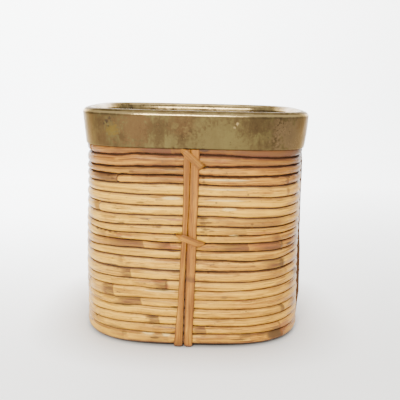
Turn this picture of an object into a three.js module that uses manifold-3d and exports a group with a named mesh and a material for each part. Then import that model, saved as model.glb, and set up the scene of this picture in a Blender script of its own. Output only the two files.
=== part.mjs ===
// Storage basket: a rounded-square wall of stacked rattan rods under a brass sheet collar.
// Upright half-round straps stand on each side, tied through the wall by flat cane lashings.
// Millimetres, +Z up, front towards -Y, origin on the floor under the middle of the basket.

import * as THREE from 'three';
import { mergeVertices } from 'three/addons/utils/BufferGeometryUtils.js';
import Module from 'manifold-3d';

const wasm = await Module();
wasm.setup();

// Clearances
const seatGap = 0.3; // between two pieces that touch
const cutOverrun = 4; // how far a cut runs past the wood

// Wall of stacked rods
const rodDiameter = 8.4; // an average rod, and the depth of the wall
const baseHalfWidth = 102.7; // outer face of the wall at the floor
const topHalfWidth = 100; // outer face of the wall under the collar
const baseSquarenessShare = 2.93; // exponent of the plan outline, where 2 is a circle
const topSquarenessShare = 3.9;
const stationsPerSide = 7; // facets along a quarter of a hoop
const sideDensityShare = 0.35; // draws the facets' ends towards the middle of each side
// Thickness of each rod from the floor up, as a share of the average rod
const rodThicknessShares = [
  1.25, 0.905, 0.88, 0.975, 0.965, 1, 1, 1.085, 1.18, 0.94, 0.845,
  0.82, 0.87, 1.025, 1.01, 1.105, 1.145, 0.94, 0.915, 1.095, 0.975,
];
// Section of a rod, pressed flat above and below by its neighbours: depth, then height
const rodSectionShares = [
  [0.5, -0.2], [0.5, 0.2], [0.31, 0.5], [-0.31, 0.5], [-0.5, 0], [-0.31, -0.5], [0.31, -0.5],
];
// Where the two ends of each hoop meet, from the floor up, as a share of a turn from the right side
const hoopJointShares = [
  0.34, 0.18, 0.29, 0.15, 0.37, 0.21, 0.31, 0.16, 0.33, 0.19, 0.3,
  0.14, 0.36, 0.2, 0.631, 0.32, 0.17, 0.675, 0.35, 0.22, 0.57,
];

// Upright straps
const strapWidth = 7.6;
const strapThickness = 4;
const strapTopThickness = 3.4;
const footThickness = 2.3; // where the strap is shaved and turned under the wall
const footReach = 15; // from the face of the wall inwards
const strapBendRadius = 3.2;
const strapBendSteps = 3;
const strapSectionShares = [[-0.5, 0], [0.5, 0], [0.5, 0.36], [0.24, 1], [-0.24, 1], [-0.5, 0.36]];
// Height up the strap, then where its left and right edges lie, as shares of the strap's width
const leftStrapShares = [
  [1, -1.22, -0.6], [0.8, -1.2, -0.6], [0.6, -1.22, -0.66], [0.46, -1.38, -0.78],
  [0.25, -1.55, -0.86], [0.08, -1.82, -0.92], [0, -1.9, -0.94],
];
const rightStrapShares = [
  [1, -0.56, 0.56], [0.8, -0.55, 0.54], [0.6, -0.6, 0.42], [0.46, -0.72, 0.41],
  [0.25, -0.74, 0.31], [0.08, -0.76, 0.22], [0, -0.76, 0.21],
];

// Inner ribs, one behind each pair of straps
const ribWidth = 11;
const ribThickness = 2.6;
const ribCentreShare = -0.33; // sideways from the middle, as a share of the strap's width
const ribCentre = ribCentreShare * strapWidth;
const ribSectionShares = [[-0.5, 0], [0.5, 0], [0.32, 1], [-0.32, 1]];

// Lashings of flat cane
const lashWidth = 6;
const lashNeckWidth = 4.4; // where the cane is drawn in between two rods
const lashThickness = 1.2;
// Each lashing by the joints between rods, counted from the floor, that its two ends pass through,
// and by how far its front run overshoots those joints up and down
const lashings = [
  { name: 'top', leftJoint: 20, rightJoint: 19, dip: 2.4 },
  { name: 'middle', leftJoint: 12, rightJoint: 11, dip: 0.5 },
];
// How a lashing rises out of its slot and rounds the strap: shares of the way inwards, of the
// front level, of the dip, of the way from the neck to the full width, and of the front's slant
const lashTurnShares = [
  [0, 0.3, 0.35, 0, 0.3],
  [0.12, 0.75, 0.75, 0.5, 0.7],
  [0.5, 1, 0.9, 1, 1],
];
const lashBackLieShare = 0.4; // of the back run's slant, at the slot

// Base board
const boardThickness = 4;

// Brass collar
const collarHeight = 32.2;
const collarOverlap = 2.8; // how far the skirt covers the top rod
const sheetThickness = 0.8;
const skirtLooseness = 0.7; // between the skirt and the face of the wall
const innerLooseness = 0.6; // between the inner skirt and the back of the wall
const skirtFlare = 2.9; // how far the top of the skirt leans out past its lower edge
const flareCurveShare = 0.4; // how much of the lean comes near the top
const lipRise = 3.6; // height of the domed lip above its shoulders
const innerSkirtDepth = 20;
const collarStationsPerSide = 10;
const skirtSteps = 3;
const lipSteps = 6;

// Heights that follow from the sizes above
const stackBottom = footThickness + seatGap;
const undersides = [stackBottom];
for (const share of rodThicknessShares) {
  undersides.push(undersides.at(-1) + share * rodDiameter);
}
const stackTop = undersides.at(-1);
const collarBottom = stackTop - collarOverlap;
const collarTop = collarBottom + collarHeight;
const collarShoulder = collarTop - lipRise;
const strapTop = collarBottom - seatGap;
const boardTop = stackBottom + boardThickness;

const materials = {
  rod: { color: 0xd9b67c, roughness: 0.5, metalness: 0 },
  strap: { color: 0xc28a4b, roughness: 0.5, metalness: 0 },
  lashing: { color: 0xc99758, roughness: 0.5, metalness: 0 },
  rib: { color: 0xb98c55, roughness: 0.6, metalness: 0 },
  board: { color: 0xc8a878, roughness: 0.7, metalness: 0 },
  brass: { color: 0x9c8a55, roughness: 0.35, metalness: 1 },
};

const basket = new THREE.Group();
const sides = ['front', 'right', 'back', 'left'];
const quarterTurn = Math.PI / 2;

function addPiece(name, geometry, finish, turns = 0) {
  const mesh = new THREE.Mesh(geometry, new THREE.MeshStandardMaterial(materials[finish]));
  mesh.name = name;
  mesh.rotation.z = turns * quarterTurn;
  basket.add(mesh);
}

// The wall leans in slightly and grows squarer towards the collar
function wallHalfWidth(height) {
  return THREE.MathUtils.lerp(baseHalfWidth, topHalfWidth, height / collarBottom);
}

function wallSquareness(height) {
  return THREE.MathUtils.lerp(baseSquarenessShare, topSquarenessShare, height / collarBottom);
}

// A rounded-square plan outline at one height of the wall
class PlanOutline {
  constructor(height) {
    this.halfWidth = wallHalfWidth(height);
    this.squareness = wallSquareness(height);
  }

  // A point at an angle round the outline, moved out along the outline's own normal
  pointAt(angle, offset, height) {
    const power = 2 / this.squareness;
    const x = Math.sign(Math.cos(angle)) * Math.abs(Math.cos(angle)) ** power;
    const y = Math.sign(Math.sin(angle)) * Math.abs(Math.sin(angle)) ** power;
    const normal = new THREE.Vector2(
      Math.sign(x) * Math.abs(x) ** (this.squareness - 1),
      Math.sign(y) * Math.abs(y) ** (this.squareness - 1),
    ).normalize();
    return new THREE.Vector3(
      x * this.halfWidth + normal.x * offset,
      y * this.halfWidth + normal.y * offset,
      height,
    );
  }

  // The angle that covers a short distance along the outline at an angle
  angleAcross(distance, angle) {
    const step = quarterTurn / stationsPerSide / 10;
    const length = this.pointAt(angle, 0, 0).distanceTo(this.pointAt(angle + step, 0, 0));
    return (distance / length) * step;
  }
}

// Angles round an outline, closer together where the sides are flat
function outlineAngles(perSide) {
  const angles = [];
  for (let step = 0; step < 4 * perSide; step += 1) {
    const turn = (step / perSide) * quarterTurn;
    angles.push(turn - (sideDensityShare * Math.sin(4 * turn)) / 4);
  }
  return angles;
}

// A solid through a row of like rings of points, either joined end to end or capped
function loft(rings, joined) {
  const count = rings[0].length;
  const indices = [];
  const spans = joined ? rings.length : rings.length - 1;
  for (let span = 0; span < spans; span += 1) {
    const here = span * count;
    const there = ((span + 1) % rings.length) * count;
    for (let corner = 0; corner < count; corner += 1) {
      const next = (corner + 1) % count;
      indices.push(here + corner, there + corner, there + next);
      indices.push(here + corner, there + next, here + next);
    }
  }
  if (!joined) {
    const last = (rings.length - 1) * count;
    for (let corner = 1; corner < count - 1; corner += 1) {
      indices.push(0, corner, corner + 1);
      indices.push(last, last + corner + 1, last + corner);
    }
  }
  const geometry = new THREE.BufferGeometry().setFromPoints(rings.flat());
  geometry.setIndex(volumeOf(rings.flat(), indices) < 0 ? indices.reverse() : indices);
  return geometry;
}

// Signed volume, which is negative where the faces point inwards
function volumeOf(points, indices) {
  let total = 0;
  for (let at = 0; at < indices.length; at += 3) {
    const [a, b, c] = [points[indices[at]], points[indices[at + 1]], points[indices[at + 2]]];
    total += a.dot(new THREE.Vector3().crossVectors(b, c));
  }
  return total / 6;
}

function toSolid(geometry) {
  const bare = geometry.clone();
  bare.deleteAttribute('normal');
  bare.deleteAttribute('uv');
  const merged = mergeVertices(bare);
  return new wasm.Manifold(new wasm.Mesh({
    numProp: 3,
    vertProperties: new Float32Array(merged.attributes.position.array),
    triVerts: new Uint32Array(merged.index.array),
  }));
}

function toGeometry(solid) {
  const mesh = solid.getMesh();
  const geometry = new THREE.BufferGeometry();
  geometry.setAttribute('position', new THREE.BufferAttribute(mesh.vertProperties, 3));
  geometry.setIndex(new THREE.BufferAttribute(mesh.triVerts, 1));
  return geometry;
}

// A value read off a table of shares, where each row starts with the height it stands for
function readShares(table, heightShare, column) {
  const below = table.findIndex((row) => row[0] <= heightShare);
  if (below <= 0) {
    return table[below < 0 ? table.length - 1 : 0][column];
  }
  const [high, low] = [table[below - 1], table[below]];
  const blend = (heightShare - low[0]) / (high[0] - low[0]);
  return THREE.MathUtils.lerp(low[column], high[column], blend);
}

function strapEdges(table, height) {
  const share = THREE.MathUtils.clamp(height / strapTop, 0, 1);
  return [readShares(table, share, 1) * strapWidth, readShares(table, share, 2) * strapWidth];
}

// Lashings. Their routes come first, because the wall is slotted for them

// The slots of one lashing: where each lies along the side, and the joint it passes through
function lashSlots(lashing) {
  const leftHeight = undersides[lashing.leftJoint];
  const rightHeight = undersides[lashing.rightJoint];
  const standOff = seatGap + lashWidth / 2;
  const leftEdge = Math.min(strapEdges(leftStrapShares, leftHeight)[0], ribCentre - ribWidth / 2);
  const rightEdge = Math.max(strapEdges(rightStrapShares, rightHeight)[1], ribCentre + ribWidth / 2);
  return {
    left: { across: leftEdge - standOff, height: leftHeight },
    right: { across: rightEdge + standOff, height: rightHeight },
  };
}

// A flat band that crosses the straps, dives between two rods, and returns behind the rib
function lashingLoop(lashing) {
  const { left, right } = lashSlots(lashing);
  const outside = seatGap + strapThickness + seatGap + lashThickness / 2;
  const inside = -(rodDiameter + seatGap + ribThickness + seatGap + lashThickness / 2);
  const slotMouth = -lashThickness;
  const slotEnd = lashThickness - rodDiameter;
  const span = right.across - left.across;
  const frontFall = left.height - right.height + 2 * lashing.dip;
  const frontLie = Math.atan2(span, frontFall);
  const backLie = Math.atan2(span, left.height - right.height);
  const stations = [];
  const mark = (across, out, height, width, lie) => {
    stations.push({ across, out, height, width, lie });
  };
  // Front run: out of the right slot, over the straps and into the left slot
  const turn = (slot, inward, dip) => [
    [slot.across, slotEnd, slot.height, lashNeckWidth, 0],
    [slot.across, slotMouth, slot.height, lashNeckWidth, 0],
    ...lashTurnShares.map(([inShare, outShare, dipShare, widthShare, lieShare]) => [
      slot.across + inward * inShare,
      outside * outShare,
      slot.height + dip * dipShare,
      THREE.MathUtils.lerp(lashNeckWidth, lashWidth, widthShare),
      frontLie * lieShare,
    ]),
  ];
  turn(right, -lashWidth / 2, -lashing.dip).forEach((row) => mark(...row));
  mark((left.across + right.across) / 2, outside, (left.height + right.height) / 2, lashWidth, frontLie);
  turn(left, lashWidth / 2, lashing.dip).reverse().forEach((row) => mark(...row));
  // Back run, behind the rib
  const backTurn = lashWidth / 4;
  const behindSlot = (slotEnd + inside) / 2;
  mark(left.across, behindSlot, left.height, lashNeckWidth, backLie * lashBackLieShare);
  mark(left.across + backTurn, inside, left.height, lashNeckWidth, backLie);
  mark(right.across - backTurn, inside, right.height, lashNeckWidth, backLie);
  mark(right.across, behindSlot, right.height, lashNeckWidth, backLie * lashBackLieShare);
  const halfWidth = wallHalfWidth((left.height + right.height) / 2);
  const centres = stations.map((s) => new THREE.Vector3(s.across, -(halfWidth + s.out), s.height));
  const rings = stations.map((station, at) => {
    const before = centres.at(at - 1);
    const after = centres[(at + 1) % centres.length];
    const along = after.clone().sub(before).normalize();
    const flat = new THREE.Vector3(Math.cos(station.lie), 0, Math.sin(station.lie));
    flat.addScaledVector(along, -flat.dot(along)).normalize();
    const proud = new THREE.Vector3().crossVectors(along, flat);
    return [[1, 1], [-1, 1], [-1, -1], [1, -1]].map(([side, face]) => centres[at].clone()
      .addScaledVector(flat, (side * station.width) / 2)
      .addScaledVector(proud, (face * lashThickness) / 2));
  });
  return loft(rings, true);
}

// The slot that each end of a lashing needs in the rods above and below its joint
function slotCutters(joint) {
  const cutters = [];
  for (const lashing of lashings) {
    const slots = lashSlots(lashing);
    for (const end of ['left', 'right']) {
      if (lashing[`${end}Joint`] === joint) {
        const depth = rodDiameter + 2 * cutOverrun;
        const box = new THREE.BoxGeometry(
          lashNeckWidth + 2 * seatGap,
          depth,
          lashThickness + 2 * seatGap,
        );
        const slot = slots[end];
        const inward = wallHalfWidth(slot.height) - rodDiameter / 2;
        box.translate(slot.across, -inward, slot.height);
        for (let side = 0; side < sides.length; side += 1) {
          cutters.push(toSolid(box.clone().rotateZ(side * quarterTurn)));
        }
      }
    }
  }
  return cutters;
}

// Wall rods

// One rod bent into a hoop, with its two ends butted
function rodHoop(course) {
  const thickness = undersides[course + 1] - undersides[course];
  const middle = undersides[course] + thickness / 2;
  const outline = new PlanOutline(middle);
  const joint = hoopJointShares[course] * 4 * quarterTurn;
  const halfGap = outline.angleAcross(seatGap / 2, joint);
  const start = joint + halfGap;
  const end = joint - halfGap + 4 * quarterTurn;
  const spare = quarterTurn / stationsPerSide / 4;
  const grid = outlineAngles(stationsPerSide);
  const lap = [...grid, ...grid.map((angle) => angle + 4 * quarterTurn)];
  const between = lap.filter((angle) => angle > start + spare && angle < end - spare);
  const rings = [start, ...between, end].map((angle) => rodSectionShares.map(([depth, rise]) => (
    outline.pointAt(
      angle,
      (depth - 0.5) * rodDiameter,
      middle + rise * (thickness - seatGap),
    )
  )));
  let solid = toSolid(loft(rings, false));
  for (const cutter of [...slotCutters(course), ...slotCutters(course + 1)]) {
    solid = solid.subtract(cutter);
  }
  return toGeometry(solid);
}

rodThicknessShares.forEach((share, course) => {
  const fromTop = rodThicknessShares.length - course;
  addPiece(`course_${String(fromTop).padStart(2, '0')}`, rodHoop(course), 'rod');
});

// Straps

// The back face of a strap from under the collar down the wall and in under the lowest rod
function strapSpine() {
  const spine = [];
  const bendTop = footThickness + strapBendRadius;
  for (const [share] of leftStrapShares) {
    const height = THREE.MathUtils.lerp(bendTop, strapTop, share);
    const thickness = share === 1 ? strapTopThickness : strapThickness;
    spine.push({ out: wallHalfWidth(height) + seatGap, height, lean: 0, thickness });
  }
  const bendOut = spine.at(-1).out - strapBendRadius;
  for (let step = 1; step <= strapBendSteps; step += 1) {
    const lean = (step / strapBendSteps) * quarterTurn;
    spine.push({
      out: bendOut + strapBendRadius * Math.cos(lean),
      height: bendTop - strapBendRadius * Math.sin(lean),
      lean,
      thickness: THREE.MathUtils.lerp(strapThickness, footThickness, step / strapBendSteps),
    });
  }
  spine.push({
    out: wallHalfWidth(0) - footReach,
    height: footThickness,
    lean: quarterTurn,
    thickness: footThickness,
  });
  return spine;
}

function strap(edgeShares) {
  const rings = strapSpine().map((station) => {
    const [left, right] = strapEdges(edgeShares, station.height);
    return strapSectionShares.map(([across, rise]) => {
      const proud = rise * station.thickness;
      return new THREE.Vector3(
        (left + right) / 2 + across * (right - left),
        -(station.out + proud * Math.cos(station.lean)),
        station.height - proud * Math.sin(station.lean),
      );
    });
  });
  return loft(rings, false);
}

// Inner rib, whose flat back lies against the rods

function innerRib() {
  const low = boardTop + seatGap;
  const rings = [low, stackTop].map((height) => {
    const face = wallHalfWidth(height) - rodDiameter - seatGap;
    return ribSectionShares.map(([across, rise]) => new THREE.Vector3(
      ribCentre + across * ribWidth,
      -(face - rise * ribThickness),
      height,
    ));
  });
  return loft(rings, false);
}

sides.forEach((side, turns) => {
  addPiece(`${side}_left_strap`, strap(leftStrapShares), 'strap', turns);
  addPiece(`${side}_right_strap`, strap(rightStrapShares), 'strap', turns);
  addPiece(`${side}_inner_rib`, innerRib(), 'rib', turns);
  for (const lashing of lashings) {
    addPiece(`${side}_${lashing.name}_lashing`, lashingLoop(lashing), 'lashing', turns);
  }
});

// Base board, inside the lowest rod and resting on the turned-in strap ends

function baseBoard() {
  const outline = new PlanOutline(stackBottom + boardThickness / 2);
  const inset = -(rodDiameter + seatGap);
  const corners = outlineAngles(stationsPerSide).map((angle) => {
    const corner = outline.pointAt(angle, inset, 0);
    return new THREE.Vector2(corner.x, corner.y);
  });
  const geometry = new THREE.ExtrudeGeometry(new THREE.Shape(corners), {
    depth: boardThickness,
    bevelEnabled: false,
  });
  return geometry.translate(0, 0, stackBottom);
}

addPiece('base_board', baseBoard(), 'board');

// Collar and the hoop inside it

// How far the sheet's outer side stands off the wall at a height of the skirt
function skirtStandOff(height) {
  const share = (height - collarBottom) / (collarShoulder - collarBottom);
  const lean = skirtFlare * THREE.MathUtils.lerp(share, share ** 2, flareCurveShare);
  return skirtLooseness + sheetThickness + lean;
}

// The outer side of the sheet, from the skirt's lower edge over the lip to the inner skirt's edge
function collarPath() {
  const brim = skirtStandOff(collarShoulder);
  const lipWidth = brim + rodDiameter + innerLooseness + sheetThickness;
  const path = [];
  for (let step = 0; step < skirtSteps; step += 1) {
    const height = THREE.MathUtils.lerp(collarBottom, collarShoulder, step / skirtSteps);
    path.push(new THREE.Vector2(skirtStandOff(height), height));
  }
  for (let step = 0; step <= lipSteps; step += 1) {
    const angle = (step / lipSteps) * Math.PI;
    path.push(new THREE.Vector2(
      brim - (lipWidth / 2) * (1 - Math.cos(angle)),
      collarShoulder + lipRise * Math.sin(angle),
    ));
  }
  path.push(new THREE.Vector2(brim - lipWidth, collarTop - innerSkirtDepth));
  return path;
}

// The same path moved sideways by a distance, to the right of its direction of travel
function offsetPath(path, distance) {
  return path.map((point, at) => {
    const before = path[Math.max(at - 1, 0)];
    const after = path[Math.min(at + 1, path.length - 1)];
    const inbound = point.clone().sub(before);
    const outbound = after.clone().sub(point);
    const sum = inbound.clone().normalize().add(outbound.clone().normalize()).normalize();
    const firm = inbound.lengthSq() > 0 ? inbound.normalize() : outbound.normalize();
    const mitre = distance / Math.max(firm.dot(sum), 0.5);
    return new THREE.Vector2(point.x + sum.y * mitre, point.y - sum.x * mitre);
  });
}

function ringsRound(profile, perSide) {
  const outline = new PlanOutline(collarBottom);
  return outlineAngles(perSide).map((angle) => (
    profile.map((point) => outline.pointAt(angle, point.x, point.y))
  ));
}

function brassCollar() {
  const outer = collarPath();
  const inner = offsetPath(outer, -sheetThickness).reverse();
  return loft(ringsRound([...outer, ...inner], collarStationsPerSide), true);
}

// The hoop fills the collar from the top rod up to the lip's shoulders
function rimCore() {
  const low = stackTop + seatGap;
  const high = collarShoulder - seatGap;
  const front = (height) => skirtStandOff(height) - sheetThickness - 2 * seatGap;
  const back = seatGap - rodDiameter - innerLooseness;
  const profile = [
    new THREE.Vector2(front(low), low),
    new THREE.Vector2(front((low + high) / 2), (low + high) / 2),
    new THREE.Vector2(front(high), high),
    new THREE.Vector2(back, high),
    new THREE.Vector2(back, low),
  ];
  return loft(ringsRound(profile, collarStationsPerSide), true);
}

addPiece('rim_core', rimCore(), 'board');
addPiece('brass_collar', brassCollar(), 'brass');

export default basket;
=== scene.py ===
# Storage basket of stacked rattan rods under a tarnished brass collar.
# Metres, +Z up, the front of the basket towards -Y, the floor at height zero.

import math
import random
import bpy
from mathutils import Matrix, Vector, noise


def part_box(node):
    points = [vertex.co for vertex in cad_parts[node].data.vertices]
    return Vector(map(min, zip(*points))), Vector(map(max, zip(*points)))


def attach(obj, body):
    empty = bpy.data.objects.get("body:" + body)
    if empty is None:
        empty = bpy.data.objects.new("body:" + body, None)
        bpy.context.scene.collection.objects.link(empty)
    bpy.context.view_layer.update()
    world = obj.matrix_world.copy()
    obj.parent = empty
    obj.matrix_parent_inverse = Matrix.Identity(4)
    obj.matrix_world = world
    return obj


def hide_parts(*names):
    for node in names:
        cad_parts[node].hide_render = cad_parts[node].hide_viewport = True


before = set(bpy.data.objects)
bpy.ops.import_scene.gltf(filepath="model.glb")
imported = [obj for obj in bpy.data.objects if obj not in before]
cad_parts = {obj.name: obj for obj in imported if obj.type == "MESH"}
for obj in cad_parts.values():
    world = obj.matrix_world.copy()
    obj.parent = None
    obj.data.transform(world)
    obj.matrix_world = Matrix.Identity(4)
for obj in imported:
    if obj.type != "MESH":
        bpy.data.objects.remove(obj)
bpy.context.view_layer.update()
millimetre = 0.001
print("frame loaded:", len(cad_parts), "nodes")


# Camera, floor and lights

cameraSetup = {
    "focalPixels": 686.85,       # focal length in pixels of the photograph
    "framePixels": 400,
    "place": (0.00373, -0.67865, 0.23208),
    "turn": -0.0029,             # radians, to the right
    "tilt": 0.1709,              # radians, down
    "roll": 0.0235,
}

studio = {
    "floorSize": 1.6,
    "floorColour": (0.88, 0.85, 0.795),
    "backDistance": 0.9,
    "backHeight": 1.2,
    "backRadius": 0.5,
    "glowDepth": (-0.22, 0.6, 1.2),  # the paper is lit from behind, more and more towards the
                                 # back, and on the right it gets there later
    "glowHeight": (0.75, 0.45),  # and fades out above and beside the picture
    "glowWidth": (1.6, 0.9),
    "glowColour": (0.93, 0.97, 1.0),
    "glowStrength": 4.5,
    "glowOnRight": 0.5,          # it is weaker on the right
    "floorGlow": (1.5, 0.75),    # left and right
    "shade": (0.1, 0.16),        # no glow under the basket
    "paintedShadowReach": (0.090, 0.106),   # and a painted shadow on the floor right under it
    "paintedShadowColour": (0.07, 0.05, 0.04),
    "worldColour": (0.97, 0.985, 1.0),
    "worldStrength": 1.0,
    "bendSteps": 12,
    "roughness": 0.7,
}
# Each light: where it stands, what it looks at, width and height, watts, colour
studioLights = {
    "key_light": ((-0.2, -1.45, 0.8), (0, 0, 0.1), (0.7, 0.4), 35.5, (1, 0.985, 0.95)),
    "top_light": ((0.05, 0.45, 1.4), (0, 0, 0), (0.9, 0.7), 6, (1, 1, 1)),
}


def makeCamera():
    data = bpy.data.cameras.new("camera")
    data.sensor_width = 36
    data.lens = data.sensor_width * cameraSetup["focalPixels"] / cameraSetup["framePixels"]
    data.clip_start = 0.01
    camera = bpy.data.objects.new("camera", data)
    bpy.context.scene.collection.objects.link(camera)
    upright = Matrix.Rotation(math.pi / 2 - cameraSetup["tilt"], 4, "X")
    turned = Matrix.Rotation(cameraSetup["turn"], 4, "Z") @ upright
    rolled = turned @ Matrix.Rotation(cameraSetup["roll"], 4, "Z")
    camera.matrix_world = Matrix.Translation(cameraSetup["place"]) @ rolled
    bpy.context.scene.camera = camera


def makeStudioSweep():
    # a floor that curves up into the backdrop, drawn as a profile along Y
    profile = [(-studio["floorSize"], 0)]
    bend = studio["backRadius"]
    foot = studio["backDistance"]
    for step in range(studio["bendSteps"] + 1):
        angle = step / studio["bendSteps"] * math.pi / 2
        profile.append((foot + bend * math.sin(angle), bend * (1 - math.cos(angle))))
    profile.append((foot + bend, studio["backHeight"]))
    half = studio["floorSize"]
    verts = [(side * half, y, z) for y, z in profile for side in (-1, 1)]
    faces = [(2 * k, 2 * k + 1, 2 * k + 3, 2 * k + 2) for k in range(len(profile) - 1)]
    mesh = bpy.data.meshes.new("studio_floor")
    mesh.from_pydata(verts, [], faces)
    for face in mesh.polygons:
        face.use_smooth = True
    floor = bpy.data.objects.new("studio_floor", mesh)
    bpy.context.scene.collection.objects.link(floor)
    material, tree, shader = newMaterial("studio paper")
    shader.inputs["Roughness"].default_value = studio["roughness"]
    across, depth, height = separate(tree, objectPlace(tree))
    start, leftReach, rightReach = studio["glowDepth"]
    reach = mapRange(tree, across, -0.1, 0.3, leftReach, rightReach)
    glow = mapRange(tree, depth, start, reach, smooth=True)
    glow = glow * mapRange(tree, height, *studio["glowHeight"], smooth=True)
    glow = glow * mapRange(tree, maths(tree, "ABSOLUTE", across), *studio["glowWidth"], smooth=True)
    glow = glow * mapRange(tree, across, 0.1, 0.9, 1.0, studio["glowOnRight"])
    floorGlow = mapRange(tree, across, -0.3, 0.2, *studio["floorGlow"])
    # how far out a spot is, measured along rounded squares like the basket's plan
    power = wall["baseSquareness"]
    spread = maths(tree, "ABSOLUTE", across) ** power + maths(tree, "ABSOLUTE", depth) ** power
    under = spread ** (1 / power)
    glow = (glow * studio["glowStrength"] + floorGlow) * mapRange(tree, under, *studio["shade"])
    plug(tree, glow, shader.inputs["Emission Strength"])
    # painted shadow: the floor is darkened right under the basket
    paintedShadow = mapRange(tree, under, *studio["paintedShadowReach"], smooth=True)
    paper = mixColour(tree, paintedShadow, studio["paintedShadowColour"], studio["floorColour"])
    plug(tree, paper, shader.inputs["Base Color"])
    shader.inputs["Emission Color"].default_value = (*studio["glowColour"], 1)
    mesh.materials.append(material)


def makeLight(name, place, aim, size, power, colour):
    data = bpy.data.lights.new(name, "AREA")
    data.shape = "RECTANGLE"
    data.size, data.size_y = size
    data.energy = power
    data.color = colour
    lamp = bpy.data.objects.new(name, data)
    bpy.context.scene.collection.objects.link(lamp)
    lamp.location = place
    lamp.rotation_euler = (Vector(aim) - Vector(place)).to_track_quat("-Z", "Y").to_euler()


def makeStudio():
    makeCamera()
    makeStudioSweep()
    world = bpy.data.worlds.new("studio")
    bpy.context.scene.world = world
    world.use_nodes = True
    sky = world.node_tree.nodes["Background"]
    sky.inputs["Color"].default_value = (*studio["worldColour"], 1)
    sky.inputs["Strength"].default_value = studio["worldStrength"]
    for name, light in studioLights.items():
        makeLight(name, *light)


# Sizes that the pieces share, read off the frame

wall = {
    "rodCount": 21,
    "gap": 0.3 * millimetre,         # between two rods, as packed
    "depth": 8.4 * millimetre,
    "baseSquareness": 2.93,          # exponent of the plan outline
    "topSquareness": 3.9,
}
collarLow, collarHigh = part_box("brass_collar")


def squarenessAt(height):
    share = height / collarLow.z
    return wall["baseSquareness"] + (wall["topSquareness"] - wall["baseSquareness"]) * share


def readRods():
    rods = []
    for number in range(1, wall["rodCount"] + 1):
        low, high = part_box(f"course_{number:02d}")
        middle = (low.z + high.z) / 2
        rods.append({
            "node": f"course_{number:02d}",
            "number": number,
            "low": low.z - wall["gap"] / 2,
            "high": high.z + wall["gap"] / 2,
            "halfWidth": (high.x - low.x) / 2,
            "squareness": squarenessAt(middle),
        })
    return rods


rodSizes = readRods()

# How far each joint stands above its even height across the front, from left to right, in
# millimetres. The first row is the joint under the top rod, the last the underside of the lowest.
waveStep = 24 * millimetre
frontWaves = [
    (-2.1, -1.5, 0.4, 0.1, 0.4, 0.1, -0.9, -1.8, -1.7),
    (-3.1, -2.4, -1.4, -0.9, -0.7, -0.6, 0.0, 0.3, 0.8),
    (-1.6, -1.4, -0.9, -0.5, -0.6, -1.0, -0.6, -0.4, 0.2),
    (-1.3, -0.8, -0.3, 0.3, -0.2, -0.9, -0.9, -1.2, -0.4),
    (-0.5, 0.0, -0.4, -0.4, -0.5, -0.8, -1.1, -1.8, -1.5),
    (-0.5, -0.4, -0.5, -0.5, -0.4, -0.4, -1.1, -1.9, -0.9),
    (-0.8, -0.7, -0.3, -0.2, -0.4, -0.4, -1.4, -1.5, -0.8),
    (-2.0, -1.6, -0.5, -0.2, -0.6, -0.7, -1.4, -1.3, -0.3),
    (0.0, -0.9, -0.4, -0.7, -1.2, -1.4, -1.0, -0.5, 0.7),
    (-1.1, -0.1, -0.2, -1.1, -1.4, -1.0, -1.0, -0.7, 0.0),
    (-2.2, -0.3, 0.3, -0.6, -0.9, -1.2, -1.2, -1.2, 0.0),
    (-1.0, 0.2, 0.3, -0.4, -0.9, -1.2, -2.2, -1.8, 1.1),
    (-1.1, -0.8, -0.5, -1.2, -1.5, -1.7, -1.3, -1.0, 0.3),
    (-2.2, -0.8, -0.1, -0.7, -1.3, -1.8, -1.9, -0.8, 1.2),
    (-1.4, 0.1, 0.8, -0.8, -1.6, -1.9, -1.2, -0.1, 1.2),
    (-3.9, -2.8, -1.1, -0.9, -1.3, -1.4, -1.4, -0.2, 1.1),
    (-1.4, -1.8, 0.3, -0.5, -1.3, -1.7, -1.8, -1.6, -0.8),
    (-2.4, -0.4, 0.3, -0.7, -1.5, -2.1, -1.8, -1.4, -0.3),
    (-3.0, -1.4, -0.4, -0.2, -1.2, -1.7, -2.0, -1.5, -0.3),
    (-1.6, -1.6, -0.8, -1.1, -1.1, -1.0, -1.1, -1.6, -2.1),
    (-1.2, -1.2, -0.6, -0.3, -0.1, 0.0, -0.5, -0.5, -0.2),
]


def wallHalfWidth(height):
    top, base = rodSizes[0], rodSizes[-1]
    topMiddle = (top["low"] + top["high"]) / 2
    baseMiddle = (base["low"] + base["high"]) / 2
    share = (height - baseMiddle) / (topMiddle - baseMiddle)
    return base["halfWidth"] + (top["halfWidth"] - base["halfWidth"]) * share


# Node trees, written as sums

class Wire:
    # one value on its way through a tree
    def __init__(self, tree, socket):
        self.tree = tree
        self.socket = socket

    def __add__(self, other):
        return maths(self.tree, "ADD", self, other)

    def __radd__(self, other):
        return maths(self.tree, "ADD", other, self)

    def __sub__(self, other):
        return maths(self.tree, "SUBTRACT", self, other)

    def __rsub__(self, other):
        return maths(self.tree, "SUBTRACT", other, self)

    def __mul__(self, other):
        return maths(self.tree, "MULTIPLY", self, other)

    def __rmul__(self, other):
        return maths(self.tree, "MULTIPLY", other, self)

    def __truediv__(self, other):
        return maths(self.tree, "DIVIDE", self, other)

    def __rtruediv__(self, other):
        return maths(self.tree, "DIVIDE", other, self)

    def __pow__(self, other):
        return maths(self.tree, "POWER", self, other)


def plug(tree, value, socket):
    if isinstance(value, Wire):
        tree.links.new(value.socket, socket)
    else:
        socket.default_value = value


def maths(tree, operation, *values):
    node = tree.nodes.new("ShaderNodeMath")
    node.operation = operation
    for value, socket in zip(values, node.inputs):
        plug(tree, value, socket)
    return Wire(tree, node.outputs[0])


def combine(tree, x, y, z):
    node = tree.nodes.new("ShaderNodeCombineXYZ")
    for value, socket in zip((x, y, z), node.inputs):
        plug(tree, value, socket)
    return Wire(tree, node.outputs[0])


def separate(tree, vector):
    node = tree.nodes.new("ShaderNodeSeparateXYZ")
    plug(tree, vector, node.inputs[0])
    return [Wire(tree, socket) for socket in node.outputs]


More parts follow.
